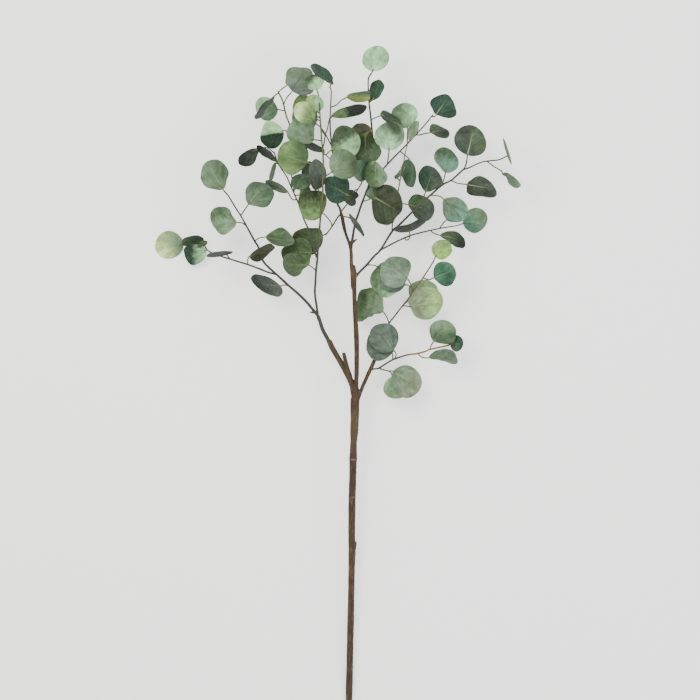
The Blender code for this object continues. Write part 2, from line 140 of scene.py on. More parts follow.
# Matt white acrylic: even and without a shine
def makeFloor():
    half = studio["floorSize"] * mm / 2
    mesh = bpy.data.meshes.new("floor")
    corners = [(-half, -half, 0), (half, -half, 0), (half, half, 0), (-half, half, 0)]
    mesh.from_pydata(corners, [], [(0, 1, 2, 3)])
    paint, shader, _ = newMaterial("mattWhiteAcrylic")
    white = toLinear(studio["floorColour"])
    feed(shader, {
        "Base Color": white, "Roughness": studio["floorRoughness"],
        "Emission Color": white, "Emission Strength": studio["floorGlow"]})
    mesh.materials.append(paint)
    floor = place("floor", mesh)


makeCamera()
makeLight()
makeFloor()
print("camera, light and floor made")

# Leaf colours on this plant: partly each leaf's own colour and partly the light and shade that falls on it,
# painted in
tones = {
    # the next tone is painted shade: near black, for the steep leaves that are seen nearly edge-on
    "night": "#18231b",
    "slate": "#28332b",
    "oliveNight": "#333b26",
    "umber": "#383f30",
    "stone": "#40483f",
    "bottle": "#283c2e",
    "moss": "#425438",
    "mossGrey": "#495741",
    "olive": "#4f6339",
    "fern": "#657f4f",
    "grass": "#8ba569",
    "straw": "#b8cd8b",
    "loam": "#3b3d28",
    "drab": "#50503f",
    "citron": "#9dab5e",
    "jade": "#3b5f49",
    "lead": "#536154",
    "haze": "#6a7c68",
    "lichen": "#7c876a",
    "fir": "#31463a",
    "mist": "#5c665e",
    "lime": "#8caf57",
    "sageDeep": "#4e634b",
    "sage": "#688062",
    "dust": "#62755d",
    "ash": "#78916c",
    "pale": "#8fba8c",
    "mint": "#abd49d",
    "teal": "#2f4b3b",
    "sea": "#597d68",
}

# How far the rim lies from the middle, in half widths, at eight even turns
# from the stalk: stalk, then over the left side to the tip, and back on the right.
# Leaves with a shape of their own give the rim itself, as seen from above in mm.
outlines = {
    "round": (1.03, 1.0, 1.0, 1.0, 0.99, 1.0, 1.0, 1.0),
    "oval": (1.05, 0.95, 0.97, 0.98, 1.03, 0.98, 0.97, 0.95),
    "drop": (1.2, 0.93, 0.96, 0.95, 0.93, 0.95, 0.96, 0.93),
}

blade = {
    "thickness": 0.5,        # mm at the middle
    "rimShare": 0.5,         # of that, at the rim
    "ribHeight": 0.45,       # mm, at the stalk end
    "veinHeight": 0.05,
    "ribStrip": 0.01,        # of the side, so that only the grid's middle line is lifted
    "ribFade": (1.02, 0.7),  # the rib's height goes as this, less the way to the tip, to this power
    "veinSlant": 0.85,       # how far a side vein runs ahead for each step aside
    "veinTurns": 19.0,       # radians of the vein pattern in half a leaf
    "veinSharpness": 5.0,
    "turns": 16,             # places on a traced rim
    "reach": (0.6, 1.45),    # least and most half widths from the middle to it
    "levelMost": 0.98,       # of the half width, for a stalk that comes in from the side
    "jitter": 0.025,         # of the half width, on a rim that isn't traced
    "jitterTurns": (7.3, 2.1),   # radians from leaf to leaf, and from place to place on the rim
    "wave": 0.022,           # of the half width
    "waves": 5.0,            # round the rim
    "waveTurn": 1.7,         # radians from leaf to leaf
    "cup": 0.05,             # of the half width, up at the rim and down at the middle
    "cupSpread": 0.06,       # more or less than that
    "cupTurn": 2.4,          # radians from leaf to leaf
    "fold": 0.05,            # how far each half rises from the rib, for each step aside
    "foldSoft": (0.004, 0.063),  # rounds the fold off at the rib, and sets it back to the rib's height
    "rows": 30,              # from stalk to tip
    "columns": 21,           # from side to side
    "columnPower": 1.5,      # closer together at the rib
    "floorGap": 0.12,        # mm under a leaf that lies on the floor
    # how softly the two tones meet and where, and how pale the rib is, unless a row says otherwise
    "tone": {"soft": 0.7, "shift": 0.0, "rib": 0.22},
}

stalk = {                    # mm
    "width": 2.2,
    "seatWidth": 2.31,       # where it meets the blade
    "endWidth": 0.66,
    "intoBlade": 5.0,
    "lowest": 1.25,          # half the width of the plain stalk that lies on the floor
}


def clamp(value, low, high):
    return max(low, min(high, value))


def mixed(first, last, share):
    return [a + (b - a) * share for a, b in zip(first, last)]


def bladeAxes(base, middle, climb, longWidth, shortWidth):
    # A leaf that looks narrower than it is climbs that way.
    # Gives the ways from stalk to tip, from side to side and out of the upper face.
    turn = math.radians(climb)
    flat = min(1.0, shortWidth / longWidth)
    rise = math.sqrt(1.0 - flat * flat)
    uphill = Vector((math.cos(turn), math.sin(turn)))
    levelAxis = Vector((-uphill.y, uphill.x, 0.0))
    climbAxis = Vector((uphill.x * flat, uphill.y * flat, rise))
    radius = longWidth / 2
    offset = base - middle
    most = blade["levelMost"] * radius
    level = clamp(offset.dot(levelAxis.to_2d()), -most, most)
    climbed = math.copysign(math.sqrt(radius * radius - level * level), offset.dot(uphill))
    forward = -(levelAxis * level + climbAxis * climbed) / radius
    upper = Vector((-uphill.x * rise, -uphill.y * rise, flat))
    return forward, upper.cross(forward), upper


def nearestOn(points, spot):
    nearest = []
    for before, after in zip(points, points[1:]):
        step = (after - before).to_2d()
        share = clamp((spot - before.to_2d()).dot(step) / step.length_squared, 0.0, 1.0)
        nearest.append(before.lerp(after, share))
    return min(nearest, key=lambda point: (point.to_2d() - spot).length)


def rimTerms(radii):
    # the outline as even and odd cosine terms of the turn from the stalk
    count = len(radii)
    top = blade["turns"] // 2
    terms = {}
    for order in range(top + 1):
        half = 2.0 if 0 < order < count // 2 else 1.0 if order <= count // 2 else 0.0
        turns = [2 * math.pi * order * i / count for i in range(count)]
        terms[f"even{order}"] = half / count * sum(r * math.cos(t) for r, t in zip(radii, turns))
        if 0 < order < top:
            terms[f"odd{order}"] = half / count * sum(r * math.sin(t) for r, t in zip(radii, turns))
    return terms


def tracedRadii(rim, middle, forward, across, radius):
    # the rim as seen from above, laid back on the leaf's own plane, at even turns from the stalk
    spots = [Vector(spot) for spot in rim]
    count = len(spots)
    across2, forward2 = across.to_2d(), forward.to_2d()
    spread = forward2.cross(across2)
    full = 2 * math.pi
    polar = []
    for i in range(count):
        a, b, c, d = (spots[(i + k - 1) % count] for k in range(4))
        for step in range(6):
            t = step / 6
            bend = (2 * a - 5 * b + 4 * c - d) * t * t + (3 * b - a - 3 * c + d) * t ** 3
            away = (2 * b + (c - a) * t + bend) * 0.5 - middle
            along = away.cross(across2) / spread
            aside = forward2.cross(away) / spread
            polar.append((math.atan2(aside, -along) % full, math.hypot(along, aside) / radius))
    polar.sort()
    polar = [(polar[-1][0] - full, polar[-1][1])] + polar + [(polar[0][0] + full, polar[0][1])]
    radii = []
    for i in range(blade["turns"]):
        turn = full * i / blade["turns"]
        for (low, near), (high, far) in zip(polar, polar[1:]):
            if low <= turn <= high:
                reach = near + (far - near) * (turn - low) / max(high - low, 1e-6)
                break
        radii.append(clamp(reach, *blade["reach"]))
    return radii


def templateLeaf():
    # a flat grid of turn from the stalk by share of the side, on two faces,
    # closed round its rim; the tree below bends it into each leaf
    rows, columns = blade["rows"], blade["columns"]
    half = (columns - 1) // 2
    power = blade["columnPower"]
    shares = [math.copysign((abs(c - half) / half) ** power, c - half) for c in range(columns)]
    shape = bmesh.new()
    rims = []
    for layer in (1, -1):
        grid = []
        for row in range(1, rows):
            turn = math.pi * row / rows
            grid.append([shape.verts.new((turn, share, layer)) for share in shares])
        foot = shape.verts.new((0.0, 0.0, layer))
        tip = shape.verts.new((math.pi, 0.0, layer))
        for low, high in zip(grid, grid[1:]):
            for c in range(columns - 1):
                corners = [low[c], high[c], high[c + 1], low[c + 1]]
                shape.faces.new(corners if layer > 0 else corners[::-1])
        for line, end, turned in ((grid[0], foot, False), (grid[-1], tip, True)):
            for c in range(columns - 1):
                corners = [end, line[c], line[c + 1]]
                shape.faces.new(corners if (layer > 0) != turned else corners[::-1])
        rims.append([foot] + [line[0] for line in grid] + [tip] + [line[-1] for line in reversed(grid)])
    upperRim, lowerRim = rims
    for i in range(len(upperRim)):
        j = (i + 1) % len(upperRim)
        shape.faces.new([upperRim[i], lowerRim[i], lowerRim[j], upperRim[j]])
    bmesh.ops.recalc_face_normals(shape, faces=shape.faces)
    mesh = bpy.data.meshes.new("templateLeaf")
    shape.to_mesh(mesh)
    shape.free()
    kept = mesh.attributes.new("bladePlace", "FLOAT_VECTOR", "POINT")
    for item, vertex in zip(kept.data, mesh.vertices):
        item.vector = vertex.co
    for polygon in mesh.polygons:
        polygon.use_smooth = True
    return place("templateLeaf", mesh)


def newTree(name, sockets):
    tree = bpy.data.node_groups.new(name, "GeometryNodeTree")
    tree.interface.new_socket("Geometry", in_out="INPUT", socket_type="NodeSocketGeometry")
    for label, kind, value in sockets:
        socket = tree.interface.new_socket(label, in_out="INPUT", socket_type="NodeSocket" + kind)
        if value is not None:
            socket.default_value = value
    tree.interface.new_socket("Geometry", in_out="OUTPUT", socket_type="NodeSocketGeometry")
    return tree, tree.nodes.new("NodeGroupInput").outputs, partial(addNode, tree)


def endTree(tree, geometry, material):
    smooth = addNode(tree, "GeometryNodeSetShadeSmooth", [geometry])
    solid = addNode(tree, "GeometryNodeRealizeInstances", [smooth])
    finished = addNode(tree, "GeometryNodeSetMaterial", {"Geometry": solid, "Material": material})
    addNode(tree, "NodeGroupOutput", {"Geometry": finished})
    return tree


def leafTree():
    # bends the template into every leaf of a spray, from numbers kept on one point per leaf
    tree, given, add = newTree("leafTree", [
        ("Template", "Object", None),
        ("Thickness", "Float", blade["thickness"] * mm),
        ("Rib height", "Float", blade["ribHeight"] * mm),
        ("Vein height", "Float", blade["veinHeight"] * mm),
        ("Wave", "Float", blade["wave"]),
        ("Material", "Material", None),
    ])
    template = add("GeometryNodeObjectInfo", {"Object": given["Template"]}).outputs["Geometry"]
    placed = add("GeometryNodeInstanceOnPoints", {"Points": given["Geometry"], "Instance": template})
    real = add("GeometryNodeRealizeInstances", [placed])

    top = blade["turns"] // 2
    own = {}
    for kind, names in (
            ("FLOAT_VECTOR", ["bladePlace", "start", "forward", "across", "upper"]),
            ("FLOAT", ["radius", "cup", "fold", "waviness", "phase"]),
            ("FLOAT", [f"even{order}" for order in range(top + 1)]),
            ("FLOAT", [f"odd{order}" for order in range(1, top)])):
        for name in names:
            own[name] = add("GeometryNodeInputNamedAttribute", {"Name": name}, data_type=kind)
    turn, share, layer = add("SeparateXYZ", [own["bladePlace"]]).outputs
    side = add("Math SIGN", [share])
    fromRib = add("Math ABSOLUTE", [share])
    even, odd = own["even0"], 0.0
    for order in range(1, top + 1):
        angle = add("Math MULTIPLY", [turn, float(order)])
        even = add("Math MULTIPLY_ADD", [own[f"even{order}"], add("Math COSINE", [angle]), even])
        if order < top:
            odd = add("Math MULTIPLY_ADD", [own[f"odd{order}"], add("Math SINE", [angle]), odd])

    # along the blade from -1 at the stalk to 1 at the tip, and across it
    back = add("Math MULTIPLY", [add("Math COSINE", [turn]), -1.0])
    along = add("Math MULTIPLY", [back, add("Math MULTIPLY_ADD", [share, odd, even])])
    rim = add("Math MULTIPLY_ADD", [side, odd, even])
    across = add("Math MULTIPLY", [share, add("Math MULTIPLY", [rim, add("Math SINE", [turn])])])
    beside = add("Math ABSOLUTE", [across])
    away = add("Math MULTIPLY_ADD", [along, along, add("Math MULTIPLY", [across, across])])

    # the blade is cupped, folded softly along its rib, and wavy near its rim
    cup = add("Math MULTIPLY", [own["cup"], add("Math MULTIPLY_ADD", [away, 2.0, -1.0])])
    ease, setBack = blade["foldSoft"]
    soft = add("Math SQRT", [add("Math MULTIPLY_ADD", [across, across, ease])])
    fold = add("Math MULTIPLY", [own["fold"], add("Math SUBTRACT", [soft, setBack])])
    angle = add("Math MULTIPLY", [side, turn])
    angle = add("Math MULTIPLY_ADD", [angle, blade["waves"], own["phase"]])
    ripple = add("Math MULTIPLY", [add("Math SINE", [angle]), add("Math MULTIPLY", [away, beside])])
    height = add("Math MULTIPLY", [given["Wave"], own["waviness"]])
    lift = add("Math MULTIPLY_ADD", [ripple, height, add("Math ADD", [cup, fold])])

    # the rib stands proud on both faces and fades to the tip, the side veins are faint
    onRib = add("Math LESS_THAN", [fromRib, blade["ribStrip"]])
    reached = add("Math MINIMUM", [add("Math MULTIPLY_ADD", [along, 0.5, 0.5]), 1.0])
    full, power = blade["ribFade"]
    fade = add("Math POWER", [add("Math SUBTRACT", [full, reached]), power])
    rib = add("Math MULTIPLY", [add("Math MULTIPLY", [onRib, fade]), given["Rib height"]])
    slant = add("Math MULTIPLY_ADD", [beside, -blade["veinSlant"], along])
    swing = add("Math COSINE", [add("Math MULTIPLY", [slant, blade["veinTurns"]])])
    ridge = add("Math POWER", [add("Math MULTIPLY_ADD", [swing, 0.5, 0.5]), blade["veinSharpness"]])
    ridge = add("Math MULTIPLY", [ridge, add("Math SUBTRACT", [1.0, away])])
    relief = add("Math MULTIPLY_ADD", [ridge, given["Vein height"], rib])
    thinning = add("Math MULTIPLY_ADD", [away, -0.5 * (1 - blade["rimShare"]), 0.5])
    skin = add("Math MULTIPLY_ADD", [given["Thickness"], thinning, relief])

    face = add("Math MULTIPLY", [layer, skin])
    spot = own["start"]
    for name, length in (
            ("forward", add("Math MULTIPLY", [add("Math ADD", [along, 1.0]), own["radius"]])),
            ("across", add("Math MULTIPLY", [across, own["radius"]])),
            ("upper", add("Math MULTIPLY_ADD", [lift, own["radius"], face]))):
        step = add("VectorMath SCALE", {0: own[name], "Scale": length})
        spot = add("VectorMath ADD", [spot, step])
    moved = add("GeometryNodeSetPosition", {"Geometry": real, "Position": spot})
    kept = add("GeometryNodeStoreNamedAttribute", {
        "Geometry": moved, "Name": "bladeSpot", "Value": add("CombineXYZ", [along, across, fromRib])},
        data_type="FLOAT_VECTOR")
    return endTree(tree, kept, given["Material"])


def tubeTree():
    # a round tube along every line, as wide as its points say, a little uneven as grown wood is
    tree, given, add = newTree("tubeTree", [
        ("Spacing", "Float", 1.6 * mm),
        ("Sides", "Int", 10),
        ("Unevenness", "Float", 0.16),
        ("Knot size", "Float", 9.0 * mm),
        ("Material", "Material", None),
    ])
    lines = add("GeometryNodeMeshToCurve", [given["Geometry"]])
    smooth = add("GeometryNodeCurveSplineType", {"Curve": lines}, spline_type="CATMULL_ROM")
    even = add("GeometryNodeResampleCurve", {"Curve": smooth, "Length": given["Spacing"]}, mode="LENGTH")
    noise = add("TexNoise", {
        "Vector": add("GeometryNodeInputPosition"), "Scale": add("Math DIVIDE", [1.0, given["Knot size"]]),
        "Detail": 2.0, "Roughness": 0.6})
    swell = add("Math MULTIPLY", [add("Math SUBTRACT", [noise, 0.5]), given["Unevenness"]])
    width = add("GeometryNodeInputNamedAttribute", {"Name": "width"}, data_type="FLOAT")
    ring = add("GeometryNodeCurvePrimitiveCircle", {"Resolution": given["Sides"], "Radius": 1.0})
    scale = add("Math MULTIPLY", [width, add("Math ADD", [swell, 0.5])])
    tube = add("GeometryNodeCurveToMesh", {
        "Curve": even, "Profile Curve": ring, "Scale": scale, "Fill Caps": True})
    return endTree(tree, tube, given["Material"])


def grown(name, mesh, tree, values):
    # runs a tree on the mesh and keeps the result as a plain mesh
    source = place(name + "_source", mesh)
    modifier = source.modifiers.new("grow", "NODES")
    modifier.node_group = tree
    for item in tree.interface.items_tree:
        if item.in_out == "INPUT" and item.name in values:
            modifier[item.identifier] = values[item.name]
    graph = bpy.context.evaluated_depsgraph_get()
    made = bpy.data.meshes.new_from_object(source.evaluated_get(graph))
    made.name = name
    source.modifiers.remove(modifier)
    bpy.data.objects.remove(source)
    return place(name, made)


def lineMesh(name, lines):
    # each line is points and a width for each in mm, and for twigs and stalks a colour for each
    places, edges, widths, colours = [], [], [], []
    for points, pointWidths, *pointColours in lines:
        first = len(places)
        places += [point * mm for point in points]
        widths += [width * mm for width in pointWidths]
        for colour in pointColours[0] if pointColours else []:
            colours += colour
        edges += [(first + i, first + i + 1) for i in range(len(points) - 1)]
    mesh = bpy.data.meshes.new(name)
    mesh.from_pydata(places, edges, [])
    mesh.attributes.new("width", "FLOAT", "POINT").data.foreach_set("value", widths)
    if colours:
        mesh.attributes.new("tone", "FLOAT_COLOR", "POINT").data.foreach_set("color", colours)
    return mesh


def leafMesh(name, rows):
    # one point for each leaf, which carries all its numbers
    mesh = bpy.data.meshes.new(name)
    mesh.from_pydata([(0, 0, 0)] * len(rows), [], [])
    kinds = {Vector: ("FLOAT_VECTOR", "vector"), list: ("FLOAT_COLOR", "color")}
    for key, value in rows[0].items():
        kind, slot = kinds.get(type(value), ("FLOAT", "value"))
        layer = mesh.attributes.new(key, kind, "POINT")
        for item, row in zip(layer.data, rows):
            setattr(item, slot, row[key])
    return mesh


def leafNumbers(number, row, twig, seed):
    route, height, middle, climb, longWidth, shortWidth, outline, fromTone, toTone, toneTurn, extra = row
    middle = Vector(middle)
    forward, across, upper = bladeAxes(Vector(route[-1]), middle, climb, longWidth, shortWidth)
    radius = longWidth / 2
    start = (middle - forward.to_2d() * radius).to_3d()
    start.z = height
    liesFlat = shortWidth == longWidth
    cup = blade["cup"] + blade["cupSpread"] * math.sin(blade["cupTurn"] * number)
    if liesFlat:
        cup = 0.0
    cup = extra.get("cup", cup)
    if isinstance(outline, str):
        byLeaf, byPlace = blade["jitterTurns"]
        radii = []
        for i, share in enumerate(outlines[outline]):
            radii.append(share * (1 + blade["jitter"] * math.sin(seed * byLeaf + i * byPlace)))
    else:
        radii = tracedRadii(outline, middle, forward, across, radius)
    turn = math.radians(toneTurn)
    seen = Vector((math.cos(turn), math.sin(turn), 0))
    soft, shift, rib = (extra.get(key, usual) for key, usual in blade["tone"].items())
    numbers = {
        "start": (start + upper * (blade["floorGap"] if liesFlat else 0.0)) * mm,
        "forward": forward,
        "across": across,
        "upper": upper,
        "radius": radius * mm,
        "cup": cup,
        "fold": 0.0 if liesFlat else extra.get("fold", blade["fold"]),
        "waviness": extra.get("wave", 0.0 if liesFlat else 1.0),
        "phase": seed * blade["waveTurn"],
        "seed": float(seed),
        "fromTone": toLinear(tones[fromTone]),
        "toTone": toLinear(tones[toTone]),
        "toneWay": Vector((seen.dot(forward), seen.dot(across), soft)),
        "toneShift": shift,
        "ribTone": rib,
        **rimTerms(radii),
    }

    # the stalk: from the nearest place on its twig, over its own points, into the blade
    root = nearestOn(twig, Vector(route[0]))
    steps = len(route) - 1
    points = [root]
    for step, spot in enumerate(route[1:-1], 1):
        points.append(Vector((*spot, root.z + (height - root.z) * step / steps)))
    seat = start + upper * cup * radius
    seat.z = max(seat.z, stalk["lowest"])
    points.append(seat)
    points.append(seat + forward * stalk["intoBlade"] - upper * cup * stalk["intoBlade"] * 2)
    return numbers, points


twigLook = {
    "widthShare": 1.05,      # of the plain twigs' widths
    "woodFrom": 2.0,         # mm; a twig this wide is not yet woody
    "woodFull": 2.0,         # mm more, and it would be all wood
    "woodMost": 0.8,
    "tallWood": 0.25,        # the tall twigs are young
    "woodLost": 0.6,         # of its wood, by its end
    "endFrom": 0.35,         # the end tone starts at this share of the length
    "endOver": 0.4,
}

twigTones = {
    "wood": "#2d2b1f",
    "young": "#35372a",
    "dusk": "#373b20",
    "green": "#4d5220",
    "amber": "#8d5f14",
    "hazel": "#5a4222",
    "stalk": "#3f4331",
    "stalkEnd": "#636c44",
}


def sprayLines(twigs, leaves, firstSeed):
    # every twig and stalk of a spray as a line, and the numbers of every leaf
    look = twigLook
    colour = {name: toLinear(tone) for name, tone in twigTones.items()}
    lines, bladeRows, centres = [], [], {}
    for name, (points, firstWidth, lastWidth, *endTone) in twigs.items():
        points = centres[name] = [Vector(point) for point in points]
        runs = [0.0]
        for before, after in zip(points, points[1:]):
            runs.append(runs[-1] + (after - before).length)
        young = colour["green" if "tall_" in name else "young"]
        last = colour[endTone[0]] if endTone else young
        woody = clamp((firstWidth - look["woodFrom"]) / look["woodFull"], 0.0, look["woodMost"])
        if "tall" in name:
            woody = look["tallWood"]
        widths, colours = [], []
        for run in runs:
            share = run / runs[-1]
            widths.append((firstWidth + (lastWidth - firstWidth) * share) * look["widthShare"])
            soft = mixed(young, last, clamp((share - look["endFrom"]) / look["endOver"], 0.0, 1.0))
            old = woody * (1 - look["woodLost"] * share) * (1 - share if endTone else 1)
            colours.append(mixed(soft, colour["wood"], old))
        lines.append((points, widths, colours))
    for number, (twig, *row) in enumerate(leaves):
        numbers, points = leafNumbers(number, row, centres[twig], firstSeed + number)
        bladeRows.append(numbers)
        last = len(points) - 1
        widths = [stalk["width"]] * (last - 1) + [stalk["seatWidth"], stalk["endWidth"]]
        colours = [mixed(colour["stalk"], colour["stalkEnd"], i / last) for i in range(last + 1)]
        lines.append((points, widths, colours))
    return lines, bladeRows


# Each twig: its points, its first and last width, and the tone that it ends in, if it changes.
# Each leaf: its twig, its stalk from there to the blade, the height of the blade's foot, the blade's
# middle, the turn in degrees that it climbs in, its width and the width that it looks in that turn,
# its outline, its two tones, which hold its own colour and the light and shade painted on it, the turn in
# degrees that they run in, and what is not as usual.
leftTwigs = {
    "root": ([(-15, 61, 58), (-18, 67, 59.5), (-25, 80, 62), (-30, 95, 65), (-33, 103, 67)], 6.6, 6.2),
    "root_stub": ([(-37, 108, 68), (-46, 109.5, 69.5)], 3.4, 2.8),
    "low": ([(-33, 103, 67), (-50, 124, 71), (-65, 139, 74), (-80, 152, 77), (-92, 163, 79),
        (-103, 173, 79), (-115, 184, 77), (-124, 195, 76), (-131, 216, 80), (-137, 226, 86),
        (-150, 250, 98), (-160, 268, 106), (-169, 282, 111), (-180, 300, 116), (-187, 308, 118)], 4.8, 2.4),
    "low_side": ([(-103, 172, 80), (-115, 175, 80), (-130, 181, 78), (-149, 188, 72), (-165, 193, 64),
        (-178, 197, 56), (-200, 204, 42), (-213, 210, 31), (-228, 220, 18), (-243, 222, 6),
        (-254, 223, 1.6)], 3.3, 2.2, "green"),
    "tall": ([(-33, 103, 67), (-35, 118, 72), (-38, 140, 79), (-37, 160, 84), (-36, 178, 89),
        (-34, 196, 94), (-33, 212, 99), (-31, 235, 106), (-30, 250, 110), (-27, 285, 117), (-25, 305, 119),
        (-25, 330, 118), (-24, 350, 116), (-25, 378, 112)], 4.0, 2.8, "green"),
    "tall_left": ([(-25, 378, 112), (-26.7, 390, 111.5), (-28, 410, 110), (-30, 440, 108), (-31, 460, 105),
        (-33, 470, 103)], 2.6, 2.0),
    "tall_right": ([(-25, 378, 112), (-22.5, 388, 111.5), (-20.8, 401, 111), (-17.4, 410, 110),
        (-14, 428, 108)], 2.4, 2.0),
    "tall_cross": ([(-21, 400, 111), (-24.4, 404, 111), (-28, 409, 110)], 2.0, 1.8),
    "tall_hook": ([(-25, 372, 112.6), (-21.5, 368, 114), (-18.5, 369, 114), (-11, 375, 113),
        (-6.5, 367, 112)], 2.2, 1.8),
    "tall_spur": ([(-20.5, 368.4, 114), (-17, 364.5, 114), (-9.5, 358.5, 114)], 1.8, 1.8),
    "fan": ([(-34, 198, 95), (-37, 205, 96), (-45, 235, 97), (-50, 249, 95), (-56, 262, 91),
        (-65.5, 289, 88), (-71.5, 303, 90), (-79, 320, 93), (-85.4, 334, 95), (-98, 353, 97),
        (-105, 373, 97)], 3.2, 2.0),
    "fan_top": ([(-72.5, 305, 90.4), (-72.6, 316, 88), (-76, 333, 85), (-78, 360, 85), (-79, 395, 88),
        (-80, 418, 91), (-85, 432, 93), (-89, 449, 95), (-92, 459, 96), (-99, 473, 97)], 2.6, 2.5, "green"),
}
